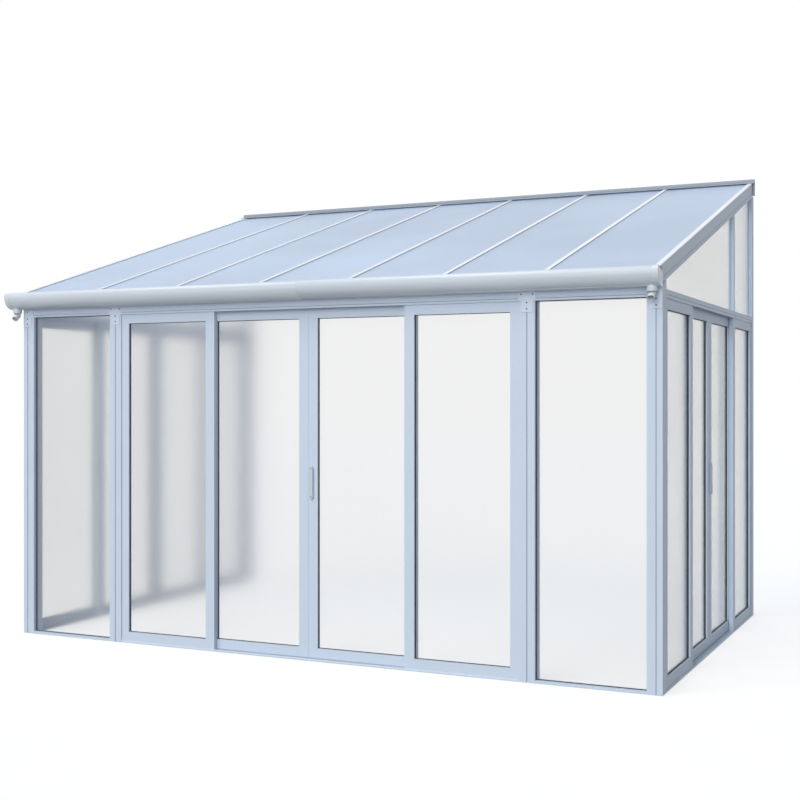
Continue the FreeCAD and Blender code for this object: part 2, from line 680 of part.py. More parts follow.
# Door leaves: two hollow stiles and two hollow rails, a slot all round for the pane, a gasket in
# front of it; the bottom rail is open underneath for the rollers.
stile_left = [
    [
        ("0", "0"),
        ("stile_w", "0"),
        ("stile_w", "leaf_pane_set"),
        ("stile_w - slot_d", "leaf_pane_set"),
        ("stile_w - slot_d", "leaf_pane_set + slot_w"),
        ("stile_w", "leaf_pane_set + slot_w"),
        ("stile_w", "leaf_t"),
        ("0", "leaf_t"),
    ],
    [
        ("leaf_skin", "leaf_skin"),
        ("stile_w - leaf_skin", "leaf_skin"),
        ("stile_w - leaf_skin", "leaf_pane_set - leaf_skin"),
        ("stile_w - slot_d - leaf_skin", "leaf_pane_set - leaf_skin"),
        ("stile_w - slot_d - leaf_skin", "leaf_t - leaf_skin"),
        ("leaf_skin", "leaf_t - leaf_skin"),
    ],
]
ROLLER_SIDES = 16
BORE_SIDES = 12
roller_roof = "leaf_bottom + roller_room_h"
rail_loops = [
    [
        ("0", "leaf_bottom"),
        ("cheek_t", "leaf_bottom"),
        ("cheek_t", roller_roof),
        ("leaf_t - cheek_t", roller_roof),
        ("leaf_t - cheek_t", "leaf_bottom"),
        ("leaf_t", "leaf_bottom"),
        ("leaf_t", "glass_bottom"),
        ("leaf_pane_set + slot_w", "glass_bottom"),
        ("leaf_pane_set + slot_w", "glass_bottom - slot_d"),
        ("leaf_pane_set", "glass_bottom - slot_d"),
        ("leaf_pane_set", "glass_bottom"),
        ("0", "glass_bottom"),
    ],
    [
        ("leaf_skin", roller_roof + " + leaf_skin"),
        ("leaf_t - leaf_skin", roller_roof + " + leaf_skin"),
        ("leaf_t - leaf_skin", "glass_bottom - slot_d - leaf_skin"),
        ("leaf_pane_set - leaf_skin", "glass_bottom - slot_d - leaf_skin"),
        ("leaf_pane_set - leaf_skin", "glass_bottom - leaf_skin"),
        ("leaf_skin", "glass_bottom - leaf_skin"),
    ],
    [
        ("0", "glass_top"),
        ("leaf_pane_set", "glass_top"),
        ("leaf_pane_set", "glass_top + slot_d"),
        ("leaf_pane_set + slot_w", "glass_top + slot_d"),
        ("leaf_pane_set + slot_w", "glass_top"),
        ("leaf_t", "glass_top"),
        ("leaf_t", "leaf_top"),
        ("0", "leaf_top"),
    ],
    [
        ("leaf_skin", "glass_top + leaf_skin"),
        ("leaf_pane_set - leaf_skin", "glass_top + leaf_skin"),
        ("leaf_pane_set - leaf_skin", "glass_top + slot_d + leaf_skin"),
        ("leaf_t - leaf_skin", "glass_top + slot_d + leaf_skin"),
        ("leaf_t - leaf_skin", "leaf_top - leaf_skin"),
        ("leaf_skin", "leaf_top - leaf_skin"),
    ],
]


def leaf_frame(name, leaf_w, axles):
    """Stiles and rails of one leaf, with roller axle pins where the leaf slides."""
    stiles = extrusion(
        name + "_stiles", "XY_Plane", stile_left + mirrored(stile_left, leaf_w), "leaf_top - leaf_bottom"
    )
    place(stiles, z="leaf_bottom")
    rails = extrusion(name + "_rails", "YZ_Plane", rail_loops, "%s - 2 * stile_w" % leaf_w)
    place(rails, "stile_w")
    pieces = [stiles, rails]
    for number, along in enumerate(axles, start=1):
        axle = doc.addObject("Part::Cylinder", "%s_axle_%d" % (name, number))
        axle.setExpression("Radius", bound("axle_r"))
        axle.setExpression("Height", bound("leaf_t - 2 * cheek_t"))
        place(axle, along, "cheek_t", "wheel_z", X_AXIS, "-90")
        pieces.append(axle)
    return group(name, pieces)


def leaf_pane(name, leaf_w):
    """Pane of one leaf, entering the slots all round."""
    low = "stile_w - pane_edge"
    face = "leaf_pane_set + slot_clear"
    outline = rectangle(low, face, "%s - (%s)" % (leaf_w, low), face + " + pane_t")
    return extrusion(name, "XY_Plane", [outline], "glass_top - glass_bottom + 2 * pane_edge")


def leaf_gasket(name, leaf_w):
    """Gasket ring in front of a leaf's pane."""
    low = "stile_w + gasket_t"
    high = "%s - (%s)" % (leaf_w, low)
    outer = rectangle("stile_w", "glass_bottom", "%s - stile_w" % leaf_w, "glass_top")
    inner = rectangle(low, "glass_bottom + gasket_t", high, "glass_top - gasket_t")
    return extrusion(name, "XZ_Plane", [outer, inner], "gasket_d", True)


def roller(name):
    """Grooved roller with an axle bore, lying across its leaf; its groove straddles the sill ridge."""
    rim = "(wheel_w - wheel_groove_w) / 2"
    hub = prism(name + "_hub", ROLLER_SIDES, "wheel_r", "wheel_w")
    near_rim = prism(name + "_near_rim", ROLLER_SIDES, "wheel_rim_r", rim)
    far_rim = prism(name + "_far_rim", ROLLER_SIDES, "wheel_rim_r", rim)
    bore = prism(name + "_bore", BORE_SIDES, "bore_r", "wheel_w")
    for disc in (hub, near_rim, bore):
        place(disc, "0", "wheel_w / 2", "0", X_AXIS, "90")
    place(far_rim, "0", "-wheel_groove_w / 2", "0", X_AXIS, "90")
    return less(name, joined(name + "_blank", [hub, near_rim, far_rim]), bore)


def pull_handle(name):
    """Pull handle: a bar with rounded ends, hollowed from one side for the fingers."""
    body = doc.addObject("PartDesign::Body", name)
    half_w = "handle_w / 2"
    half_h = "handle_h / 2"
    outline = rectangle("-" + half_w, "-" + half_h, half_w, half_h)
    bar = add_pad(body, name + "_bar", "XZ_Plane", [outline], "handle_reach")[1]
    doc.recompute()
    corners = []
    for index, edge in enumerate(bar.Shape.Edges, start=1):
        box = edge.BoundBox
        runs_out = box.YLength > max(box.XLength, box.ZLength)
        if runs_out:
            corners.append("Edge%d" % index)
    rounded = body.newObject("PartDesign::Fillet", name + "_rounded")
    rounded.Base = (bar, corners)
    rounded.setExpression("Radius", bound("handle_w / 2 - fit_gap"))
    body.Tip = rounded
    hollow = new_sketch(body, name + "_hollow", "YZ_Plane", "handle_wall - handle_w / 2")
    polygon(hollow, rectangle("handle_wall - handle_reach", "-grip_h / 2", "-handle_wall", "grip_h / 2"))
    add_pocket(body, name + "_hollow", hollow, True)
    return body


fixed_frames = []
fixed_panes = []
SLIDERS = {
    "front": ("front_slider_left", "front_slider_right"),
    "right": ("right_slider_front", "right_slider_rear"),
    "left": ("left_slider_rear", "left_slider_front"),
}
pane_z = "glass_bottom - pane_edge"
gasket_y = "%s + leaf_pane_set + slot_clear - gasket_d"
for wall, (half, leaf_w) in DOORS.items():
    fixed_starts = ("-%s - tuck" % half, "%s + tuck - %s" % (half, leaf_w))
    for number, start in enumerate(fixed_starts, start=1):
        name = "%s_fixed_%d" % (wall, number)
        frame = leaf_frame(name, leaf_w, ())
        place_in_wall(frame, wall, start, "leaf_out_y")
        fixed_frames.append(frame)
        pane = leaf_pane(name + "_pane", leaf_w)
        place_in_wall(pane, wall, start, "leaf_out_y", pane_z)
        fixed_panes.append(pane)
        gasket = leaf_gasket(name + "_gasket", leaf_w)
        place_in_wall(gasket, wall, start, gasket_y % "leaf_out_y")
        fixed_gaskets.append(gasket)
    slider_starts = ("-meet_gap / 2 - " + leaf_w, "meet_gap / 2")
    axles = ("wheel_inset", leaf_w + " - wheel_inset")
    for name, start in zip(SLIDERS[wall], slider_starts):
        frame = leaf_frame(name, leaf_w, axles)
        place_in_wall(frame, wall, start, "leaf_in_y")
        NODES[name] = frame
        pane = leaf_pane(name + "_pane", leaf_w)
        place_in_wall(pane, wall, start, "leaf_in_y", pane_z)
        NODES[name + "_pane"] = pane
        gasket = leaf_gasket(name + "_gasket", leaf_w)
        place_in_wall(gasket, wall, start, gasket_y % "leaf_in_y")
        NODES[name + "_gasket"] = gasket
        for number, along in enumerate(axles, start=1):
            wheel = roller("%s_wheel_%d" % (name, number))
            place_in_wall(wheel, wall, "%s + %s" % (start, along), "leaf_in_y + leaf_t / 2", "wheel_z")
            NODES["%s_wheel_%d" % (name, number)] = wheel
    handle_name = wall + "_handle"
    handle = pull_handle(handle_name)
    place_in_wall(handle, wall, "meet_gap / 2 + handle_in", "leaf_in_y", "handle_z")
    NODES[handle_name] = handle
NODES["fixed_leaf_frames"] = group("fixed_leaf_frames", fixed_frames)
NODES["fixed_leaf_panes"] = group("fixed_leaf_panes", fixed_panes)
NODES["fixed_gaskets"] = group("fixed_gaskets", fixed_gaskets)

# Inner rafters: hollow bars on the roof slope between the eaves beam and the wall plate shelf.
half_rafter = "rafter_w / 2"
rafters = doc.addObject("PartDesign::Body", "rafters")
rafter_sketch, rafter_pad = add_pad(
    rafters,
    "rafter",
    "XZ_Plane",
    [
        rectangle("-" + half_rafter, "-rafter_h", half_rafter, "0"),
        rectangle("-%s + skin" % half_rafter, "-rafter_h + skin", half_rafter + " - skin", "-skin"),
    ],
    "rafter_len",
    True,
)
row_of(rafters, "rafters", rafter_sketch, rafter_pad, "panel_count - 1", "(panel_count - 2) * panel_pitch")
roof_place(rafters, "-rafter_half + panel_pitch")
NODES["rafters"] = rafters

# Edge rafters: deeper hollow bars over the side walls, with a lip beside the end panel, a shadow
# line outside and a slot underneath for the upper edge of the gable panes.
slot_out = "edge_rafter_w + edge_inset - gable_set"
band_z = "-edge_rafter_h + edge_band"
edge_loops = [
    [
        ("0", "-edge_rafter_h"),
        (slot_out + " - slot_w", "-edge_rafter_h"),
        (slot_out + " - slot_w", "-edge_rafter_h + slot_d"),
        (slot_out, "-edge_rafter_h + slot_d"),
        (slot_out, "-edge_rafter_h"),
        ("edge_rafter_w", "-edge_rafter_h"),
        ("edge_rafter_w", band_z),
        ("edge_rafter_w - line_d", band_z),
        ("edge_rafter_w - line_d", band_z + " + line_d"),
        ("edge_rafter_w", band_z + " + line_d"),
        ("edge_rafter_w", "panel_t"),
        ("edge_rafter_w - upstand_t", "panel_t"),
        ("edge_rafter_w - upstand_t", "0"),
        ("0", "0"),
    ],
    rectangle("skin", "-edge_rafter_h + slot_d + skin", "edge_rafter_w - line_d - skin", "-skin"),
]
edge_right = extrusion("edge_rafter_r", "XZ_Plane", edge_loops, "edge_rafter_len", True)
roof_place(edge_right, "half_width - edge_inset - edge_rafter_w")
edge_mirror = mirrored(edge_loops, "edge_rafter_w")
edge_left = extrusion("edge_rafter_l", "XZ_Plane", edge_mirror, "edge_rafter_len", True)
roof_place(edge_left, "-half_width + edge_inset")
NODES["edge_rafters"] = group("edge_rafters", [edge_left, edge_right])

# Roof panels: translucent sheets lying on the rafters, each between two cap stems.
roof_panels = doc.addObject("PartDesign::Body", "roof_panels")
panel_sketch, panel_pad = add_pad(
    roof_panels,
    "panel",
    "XZ_Plane",
    [rectangle("0", "0", "panel_pitch - stem_w - 2 * fit_gap", "panel_t")],
    "roof_len + eave_overhang",
    True,
)
row_of(roof_panels, "panels", panel_sketch, panel_pad, "panel_count", "(panel_count - 1) * panel_pitch")
roof_place(roof_panels, "-rafter_half + stem_w / 2 + fit_gap", "eave_overhang")
NODES["roof_panels"] = roof_panels

# Rafter caps: bars over the panel joints with a stem down to the rafter; the two end caps reach
# out over the lips of the edge rafters.
cap_top = "panel_t + cap_t"


def cap_outline(low, high):
    """Cap plate from low to high with its stem in the panel joint."""
    return [
        ("-stem_w / 2", "0"),
        ("stem_w / 2", "0"),
        ("stem_w / 2", "panel_t"),
        (high, "panel_t"),
        (high, cap_top),
        (low, cap_top),
        (low, "panel_t"),
        ("-stem_w / 2", "panel_t"),
    ]


cap_len = "roof_len + eave_overhang"
inner_caps = doc.addObject("PartDesign::Body", "inner_caps")
inner_outline = cap_outline("-cap_w / 2", "cap_w / 2")
cap_sketch, cap_pad = add_pad(inner_caps, "inner_cap", "XZ_Plane", [inner_outline], cap_len, True)
row_of(inner_caps, "inner_caps", cap_sketch, cap_pad, "panel_count - 1", "(panel_count - 2) * panel_pitch")
roof_place(inner_caps, "-rafter_half + panel_pitch", "eave_overhang")
right_outline = cap_outline("-end_cap_in", "edge_rafter_w / 2")
end_cap_right = extrusion("end_cap_r", "XZ_Plane", [right_outline], cap_len, True)
roof_place(end_cap_right, "rafter_half", "eave_overhang")
left_outline = cap_outline("-edge_rafter_w / 2", "end_cap_in")
end_cap_left = extrusion("end_cap_l", "XZ_Plane", [left_outline], cap_len, True)
roof_place(end_cap_left, "-rafter_half", "eave_overhang")
NODES["rafter_caps"] = group("rafter_caps", [inner_caps, end_cap_left, end_cap_right])

# Wall plate: flat web on the house wall, a hood over the upper ends of the panels, a shelf under
# the inner rafters and a row of fixing holes between the rafters.
plate_half = "half_width + plate_over"
web_y = "wall_y - plate_web"
lip_y = "wall_y - hood_reach"
bead_y = "wall_y - hood_reach + bead_h"
shelf_y = "wall_y - plate_web - shelf_reach"
hood_low = "panel_t + cap_t + hood_gap"
hood_high = "panel_t + cap_t + hood_gap + hood_t"
plate_foot_z = roof_z("wall_y", "-rafter_h - shelf_t") + " - plate_foot"
plate_top = roof_z(web_y, hood_high) + " + plate_rise"
plate_outline = [
    ("wall_y", plate_foot_z),
    ("wall_y", plate_top),
    (web_y, plate_top),
    (web_y, roof_z(web_y, hood_high)),
    (bead_y, roof_z(bead_y, hood_high)),
    (bead_y, roof_z(bead_y, hood_high) + " + bead_h"),
    (lip_y, roof_z(lip_y, hood_high) + " + bead_h"),
    (lip_y, roof_z(lip_y, hood_low)),
    (web_y, roof_z(web_y, hood_low)),
    (web_y, plate_foot_z),
]
wall_plate = extrusion("wall_plate", "YZ_Plane", [plate_outline], "2 * (%s)" % plate_half)
shelf_end = "half_width - edge_inset - edge_rafter_w - edge_inset"
shelf_outline = [
    (web_y, roof_z(web_y, "-rafter_h")),
    (shelf_y, roof_z(shelf_y, "-rafter_h")),
    (shelf_y, roof_z(shelf_y, "-rafter_h - shelf_t")),
    (web_y, roof_z(web_y, "-rafter_h - shelf_t")),
]
add_pad(
    wall_plate, "shelf", "YZ_Plane", [shelf_outline], "2 * (%s)" % shelf_end, False,
    "%s - (%s)" % (plate_half, shelf_end),
)
wall_holes = new_sketch(wall_plate, "wall_holes", "XZ_Plane")
hole_z = roof_z("wall_y", "-rafter_h / 2")
for step in (-3, -2, -1, 1, 2, 3):
    circle(wall_holes, "%s + (%d) * panel_pitch" % (plate_half, step), hole_z, "wall_hole_r")
add_pocket(wall_plate, "wall_holes", wall_holes)
place(wall_plate, "-(%s)" % plate_half)
NODES["wall_plate"] = wall_plate

# Gutter: two lengths of rounded trough with a rolled rim, meeting in the middle of the front.
LOWER_FRONT = math.radians(225)
curve_y = "gutter_front + gutter_r"
curve_z = "gutter_bottom + gutter_r"
rim_y = "gutter_front + rim_r"
rim_z = "gutter_rim - rim_r"


def gutter_loop(sketch, corners, bends):
    """Closed outline whose bends, by edge, are quarter circles held by their ends and the depth of
    their centres; the last bend is the lower front one."""
    count = len(corners)
    step = 2 * math.pi / count
    angles = [LOWER_FRONT + (index - max(bends) - 0.5) * step for index in range(count)]
    middle = FreeCAD.Vector(2, 2, 0) * START_RING
    ring = [middle + FreeCAD.Vector(math.cos(turn), math.sin(turn), 0) * START_RING for turn in angles]
    edges = [Part.LineSegment(ring[i], ring[(i + 1) % count]) for i in range(count)]
    quarter = Part.Circle(middle, FreeCAD.Vector(0, 0, 1), START_RING)
    for bend in bends:
        edges[bend] = Part.ArcOfCircle(quarter, angles[bend], angles[bend] + step)
    sketch.addGeometry(edges, False)
    joins = [Sketcher.Constraint("Coincident", i, 2, (i + 1) % count, 1) for i in range(count)]
    sketch.addConstraint(joins)
    constraints = []
    names = []
    hold(sketch, corners, 0, constraints, names)
    for bend, centre_y in bends.items():
        constraints.append(Sketcher.Constraint("DistanceX", -1, 1, bend, 3, middle.x))
        names.append(centre_y)
    base = sketch.ConstraintCount
    sketch.addConstraint(constraints)
    for index, name in enumerate(names):
        sketch.setExpression("Constraints[%d]" % (base + index), bound(name))


def gutter_body(name, corners, bends, length):
    """Body extruded along the gutter from a curved outline."""
    body = doc.addObject("PartDesign::Body", name)
    sketch = new_sketch(body, name + "_outline", "YZ_Plane")
    gutter_loop(sketch, corners, bends)
    pad = body.newObject("PartDesign::Pad", name + "_pad")
    pad.Profile = sketch
    pad.setExpression("Length", bound(length))
    body.Tip = pad
    return body


def hollow_out(body, name, corners, bends):
    """Cuts a curved cavity right along a gutter body."""
    cavity = new_sketch(body, name + "_cavity", "YZ_Plane")
    gutter_loop(cavity, corners, bends)
    add_pocket(body, name + "_cavity", cavity, True)


trough_block = [
    (rim_y, "gutter_rim"),
    ("gutter_front", rim_z),
    ("gutter_front", curve_z),
    (curve_y, "gutter_bottom"),
    ("front_y", "gutter_bottom"),
    ("front_y", "gutter_rim"),
]
trough_cavity = [
    (rim_y + " + lip_flat", "gutter_rim + gutter_t"),
    (rim_y + " + lip_flat", "gutter_rim - gutter_t"),
    (rim_y, "gutter_rim - gutter_t"),
    ("gutter_front + gutter_t", rim_z),
    ("gutter_front + gutter_t", curve_z),
    (curve_y, "gutter_bottom + gutter_t"),
    ("front_y - gutter_t", "gutter_bottom + gutter_t"),
    ("front_y - gutter_t", "gutter_back"),
    ("front_y + gutter_t", "gutter_back"),
    ("front_y + gutter_t", "gutter_rim + gutter_t"),
]
left_start = "gutter_left_x + end_cap_t"
GUTTERS = {
    "gutter_left": (left_start, "-(%s)" % left_start, "gutter_left_x + outlet_inset"),
    "gutter_right": ("0", "gutter_right_x - end_cap_t", "gutter_right_x - outlet_inset"),
}
for name, (start, length, outlet_x) in GUTTERS.items():
    gutter = gutter_body(name, trough_block, {0: rim_y, 2: curve_y}, length)
    hollow_out(gutter, name, trough_cavity, {2: rim_y, 4: curve_y})
    drain = new_sketch(gutter, name + "_drain", "XY_Plane")
    circle(drain, "%s - (%s)" % (outlet_x, start), "outlet_y", "pipe_bore_r")
    add_pocket(gutter, name + "_drain", drain, True)
    place(gutter, start)
    NODES[name] = gutter

# Gutter joiner: a thin sleeve inside the trough, bridging the seam.
joiner_block = [
    ("gutter_front + gutter_t", curve_z),
    (curve_y, "gutter_bottom + gutter_t"),
    ("front_y - gutter_t", "gutter_bottom + gutter_t"),
    ("front_y - gutter_t", curve_z),
]
joiner_cavity = [
    ("gutter_front + gutter_t + joiner_t", curve_z),
    (curve_y, "gutter_bottom + gutter_t + joiner_t"),
    ("front_y - gutter_t - joiner_t", "gutter_bottom + gutter_t + joiner_t"),
    ("front_y - gutter_t - joiner_t", curve_z + " + gutter_t"),
    ("gutter_front + gutter_t + joiner_t", curve_z + " + gutter_t"),
]
gutter_joiner = gutter_body("gutter_joiner", joiner_block, {0: curve_y}, "2 * joiner_half")
hollow_out(gutter_joiner, "gutter_joiner", joiner_cavity, {0: curve_y})
place(gutter_joiner, "-joiner_half")
NODES["gutter_joiner"] = gutter_joiner

# Gutter end caps: flat plates with the outline of the trough.
closed_trough = [
    ("front_y", "gutter_back"),
    (rim_y, "gutter_rim"),
    ("gutter_front", rim_z),
    ("gutter_front", curve_z),
    (curve_y, "gutter_bottom"),
    ("front_y", "gutter_bottom"),
]
closed_bends = {1: rim_y, 3: curve_y}
caps = []
CAP_STARTS = {"gutter_cap_left": "gutter_left_x", "gutter_cap_right": "gutter_right_x - end_cap_t"}
for name, start in CAP_STARTS.items():
    cap = gutter_body(name, closed_trough, closed_bends, "end_cap_t")
    place(cap, start)
    caps.append(cap)
NODES["gutter_end_caps"] = group("gutter_end_caps", caps)

# Gutter outlets: a collar fitted to the underside of the trough and an elbow that tips forwards.


def rod(name, radius, height, x, z, angle):
    """Cylinder on the outlet axis, turned about the front direction."""
    piece = doc.addObject("Part::Cylinder", name)
    piece.setExpression("Radius", bound(radius))
    piece.setExpression("Height", bound(height))
    place(piece, x, "outlet_y", z, X_AXIS, angle)
    return piece


def ball(name, radius, x, z):
    """Sphere on the outlet axis."""
    piece = doc.addObject("Part::Sphere", name)
    piece.setExpression("Radius", bound(radius))
    place(piece, x, "outlet_y", z)
    return piece


collar_z = "gutter_bottom - collar_h"
knee_z = "gutter_bottom - collar_h - pipe_drop"
spout_len = "socket_len + spigot_len"
downwards = "180 - spout_tilt"
outlets = []
for name, (start, length, outlet_x) in GUTTERS.items():
    side = name.replace("gutter_", "outlet_")
    body = joined(side + "_body", [
        rod(side + "_collar", "collar_r", "collar_h + gutter_r / 2", outlet_x, collar_z, "0"),
        rod(side + "_drop", "pipe_r", "pipe_drop + collar_h / 2", outlet_x, knee_z, "0"),
        ball(side + "_knee", "knee_r", outlet_x, knee_z),
        rod(side + "_socket", "pipe_r", "socket_len", outlet_x, knee_z, downwards),
        rod(side + "_spigot", "spigot_r", spout_len, outlet_x, knee_z, downwards),
    ])
    bore = joined(side + "_bore", [
        rod(side + "_bore_drop", "pipe_bore_r", "pipe_drop + collar_h + gutter_r", outlet_x, knee_z, "0"),
        ball(side + "_bore_knee", "pipe_bore_r", outlet_x, knee_z),
        rod(side + "_bore_spout", "pipe_bore_r", spout_len + " + collar_h", outlet_x, knee_z, downwards),
    ])
    trough_fill = gutter_body(side + "_trough_fill", closed_trough, closed_bends, "4 * collar_r")
    place(trough_fill, "%s - 2 * collar_r" % outlet_x)
    outlets.append(less(side, less(side + "_pipe", body, bore), trough_fill))
NODES["gutter_outlets"] = group("gutter_outlets", outlets)

# Post brackets: flat plates that tie the eaves beam to the corner posts and door posts.
foot_z = "head_height - bracket_foot"
neck_z = "head_height - bracket_neck"
shoulder_z = "head_height - bracket_neck + wing_rise"


def bracket_outline(left_wing, right_wing):
    """Bracket outline about the post groove; a wing is wide above its sloping shoulder."""
    outline = [("-bracket_half", foot_z), ("bracket_half", foot_z)]
    if right_wing:
        outline += [("bracket_half", neck_z), ("bracket_wing", shoulder_z)]
        outline += [("bracket_wing", "gutter_bottom")]
    else:
        outline += [("bracket_half", "gutter_bottom")]
    if left_wing:
        outline += [("-bracket_wing", "gutter_bottom"), ("-bracket_wing", shoulder_z)]
        outline += [("-bracket_half", neck_z)]
    else:
        outline += [("-bracket_half", "gutter_bottom")]
    return outline


corner_groove = "half_width - groove_edge"
door_groove = "front_half + door_post_width / 2"
BRACKETS = {
    "bracket_corner_left": ("-(%s)" % corner_groove, False, True),
    "bracket_door_left": ("-(%s)" % door_groove, True, True),
    "bracket_door_right": (door_groove, True, True),
    "bracket_corner_right": (corner_groove, True, False),
}
brackets = []
screws = []
upper_z = "gutter_bottom - 3 * screw_r"
middle_z = "head_height - 2 * screw_r"
lower_z = "head_height - bracket_foot + 4 * screw_r"
for name, (groove_x, left_wing, right_wing) in BRACKETS.items():
    bracket = extrusion(name, "XZ_Plane", [bracket_outline(left_wing, right_wing)], "bracket_t")
    place(bracket, groove_x, "front_y")
    brackets.append(bracket)
    spots = [(groove_x, middle_z), (groove_x, lower_z)]
    if left_wing and right_wing:
        spots += [("%s - bracket_half" % groove_x, upper_z), ("%s + bracket_half" % groove_x, upper_z)]
    else:
        spots += [(groove_x, upper_z)]
    for number, (x, z) in enumerate(spots, start=1):
        screw = prism("%s_screw_%d" % (name, number), SCREW_SIDES, "screw_r", "screw_h")
        place(screw, x, "front_y - bracket_t", z, X_AXIS, "90")
        screws.append(screw)
NODES["post_brackets"] = group("post_brackets", brackets)
NODES["bracket_screws"] = group("bracket_screws", screws)

# Gable mullions: uprights between the side beam and the edge rafter, slotted for a pane on each side.
half_mullion = "gable_mullion_w / 2"
gable_slot = "gable_set - side_beam_set"
mullion_loops = [
    [
        ("0", "0"),
        ("gable_mullion_w", "0"),
        ("gable_mullion_w", gable_slot),
        ("gable_mullion_w - slot_d", gable_slot),
        ("gable_mullion_w - slot_d", gable_slot + " + slot_w"),
        ("gable_mullion_w", gable_slot + " + slot_w"),
        ("gable_mullion_w", "gable_mullion_d"),
        ("0", "gable_mullion_d"),
        ("0", gable_slot + " + slot_w"),
        ("slot_d", gable_slot + " + slot_w"),
        ("slot_d", gable_slot),
        ("0", gable_slot),
    ],
    rectangle("slot_d + skin", "skin", "gable_mullion_w - slot_d - skin", "gable_mullion_d - skin"),
]
mullion_low = "edge_under + (gable_mullion_y - %s - front_y) * pitch_tan - side_top" % half_mullion
mullion_high = "edge_under + (gable_mullion_y + %s - front_y) * pitch_tan - side_top" % half_mullion
mullions = []
for wall, rising in (("left", False), ("right", True)):
    name = "gable_mullion_" + wall
    mullion = extrusion(name, "XY_Plane", mullion_loops, mullion_high)
    cutter = new_sketch(mullion, name + "_slope", "XZ_Plane")
    slope = [
        ("-skin", "%s - skin * pitch_tan" % mullion_low),
        ("gable_mullion_w + skin", "%s + skin * pitch_tan" % mullion_high),
        ("-skin", "%s + skin * pitch_tan" % mullion_high),
    ]
    polygon(cutter, slope if rising else mirrored([slope], "gable_mullion_w")[0])
    add_pocket(mullion, name, cutter)
    along = "gable_mullion_y - side_mid" if rising else "side_mid - gable_mullion_y"
    place_in_wall(mullion, wall, "%s - %s" % (along, half_mullion), side_face, "side_top")
    mullions.append(mullion)
NODES["gable_mullions"] = group("gable_mullions", mullions)

# Gable panes: one in front of and one behind each gable mullion, cut to the roof slope.


def gable_outline(low_y, high_y):
    """Pane outline from the side beam slot up into the edge rafter slot."""
    rise = "-edge_rafter_h + pane_edge"
    low_z = "side_top - pane_edge"
    return [(low_y, low_z), (high_y, low_z), (high_y, roof_z(high_y, rise)), (low_y, roof_z(low_y, rise))]


front_piece = gable_outline("back_y - pane_edge", "gable_mullion_y - %s + pane_edge" % half_mullion)
rear_piece = gable_outline("gable_mullion_y + %s - pane_edge" % half_mullion, "side_rear_y + pane_edge")
gable_panes = []
for side, start in (
    ("left", "-half_width + gable_set + slot_clear"),
    ("right", "half_width - gable_set - slot_clear - pane_t"),
):
    for spot, outline in (("front", front_piece), ("rear", rear_piece)):
        pane = extrusion("gable_pane_%s_%s" % (side, spot), "YZ_Plane", [outline], "pane_t")
        place(pane, start)
        gable_panes.append(pane)
NODES["gable_panes"] = group("gable_panes", gable_panes)

doc.recompute()
for item in doc.Objects:
    if "Invalid" in item.State or "Error" in item.State:
        raise RuntimeError("not built: " + item.Name)
for label, piece in NODES.items():
    piece.Label = label
    shape = piece.Shape
    if shape.isNull() or not shape.isValid():
        raise RuntimeError("bad shape: " + label)
    shape.exportStep("parts/%s.step" % label)
    print("%-28s %3d solids %10.1f cm3" % (label, len(shape.Solids), shape.Volume / 1000))
print(len(NODES), "nodes")
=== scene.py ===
import math

import bmesh
import bpy
import numpy as np
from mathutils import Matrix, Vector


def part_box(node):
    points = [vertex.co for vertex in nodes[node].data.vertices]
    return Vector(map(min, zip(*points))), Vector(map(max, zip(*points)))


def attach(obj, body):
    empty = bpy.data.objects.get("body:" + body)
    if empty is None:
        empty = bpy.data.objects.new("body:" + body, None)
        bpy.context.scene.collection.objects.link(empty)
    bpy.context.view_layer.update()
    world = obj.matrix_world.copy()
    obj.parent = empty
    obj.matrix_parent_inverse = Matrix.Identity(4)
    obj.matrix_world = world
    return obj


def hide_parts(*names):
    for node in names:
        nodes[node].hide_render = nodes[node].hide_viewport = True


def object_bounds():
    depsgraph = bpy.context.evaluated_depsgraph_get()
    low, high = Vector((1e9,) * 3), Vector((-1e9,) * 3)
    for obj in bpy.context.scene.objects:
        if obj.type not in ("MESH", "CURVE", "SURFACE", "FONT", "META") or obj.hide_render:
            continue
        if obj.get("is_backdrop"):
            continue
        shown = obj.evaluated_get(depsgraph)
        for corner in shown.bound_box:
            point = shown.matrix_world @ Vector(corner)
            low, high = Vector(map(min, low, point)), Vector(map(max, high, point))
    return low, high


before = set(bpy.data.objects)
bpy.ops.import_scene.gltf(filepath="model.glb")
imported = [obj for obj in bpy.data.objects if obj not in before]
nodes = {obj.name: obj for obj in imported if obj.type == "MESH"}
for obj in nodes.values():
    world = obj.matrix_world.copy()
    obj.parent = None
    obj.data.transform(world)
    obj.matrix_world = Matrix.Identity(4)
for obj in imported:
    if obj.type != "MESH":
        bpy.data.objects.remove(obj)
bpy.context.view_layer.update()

# Sills: low aluminium extrusions lying on the floor, powder coated in a cool white. Those of the doors
# have a track for the fixed leaves and a ridged one for the rollers; those of the bays carry a pane.
COAT_WHITE = (0.60, 0.68, 0.79)
CLOUD_TONE = (0.97, 0.975, 0.98)
GLOSS_DRIFT = 0.03
PEEL_DEPTH = 0.0004
# Reach and samples of the painted shade that darkens narrow recesses and inner corners of the coats.
PAINTED_SHADE_REACH = 0.012
PAINTED_SHADE_SAMPLES = 8
EXTRUSION_EASE = 0.0008
WELD_REACH = 0.00002


def new_finish(name):
    """Fresh material: gives it with its node tree, its shader and its object coordinates in metres."""
    material = bpy.data.materials.new(name)
    material.use_nodes = True
    tree = material.node_tree
    place = tree.nodes.new("ShaderNodeTexCoord").outputs["Object"]
    return material, tree, tree.nodes["Principled BSDF"], place


def noise(tree, place, scale, detail):
    """Noise over object coordinates with scale patches to the metre; gives its value."""
    texture = tree.nodes.new("ShaderNodeTexNoise")
    texture.inputs["Scale"].default_value = scale
    texture.inputs["Detail"].default_value = detail
    tree.links.new(place, texture.inputs["Vector"])
    return texture.outputs["Fac"]


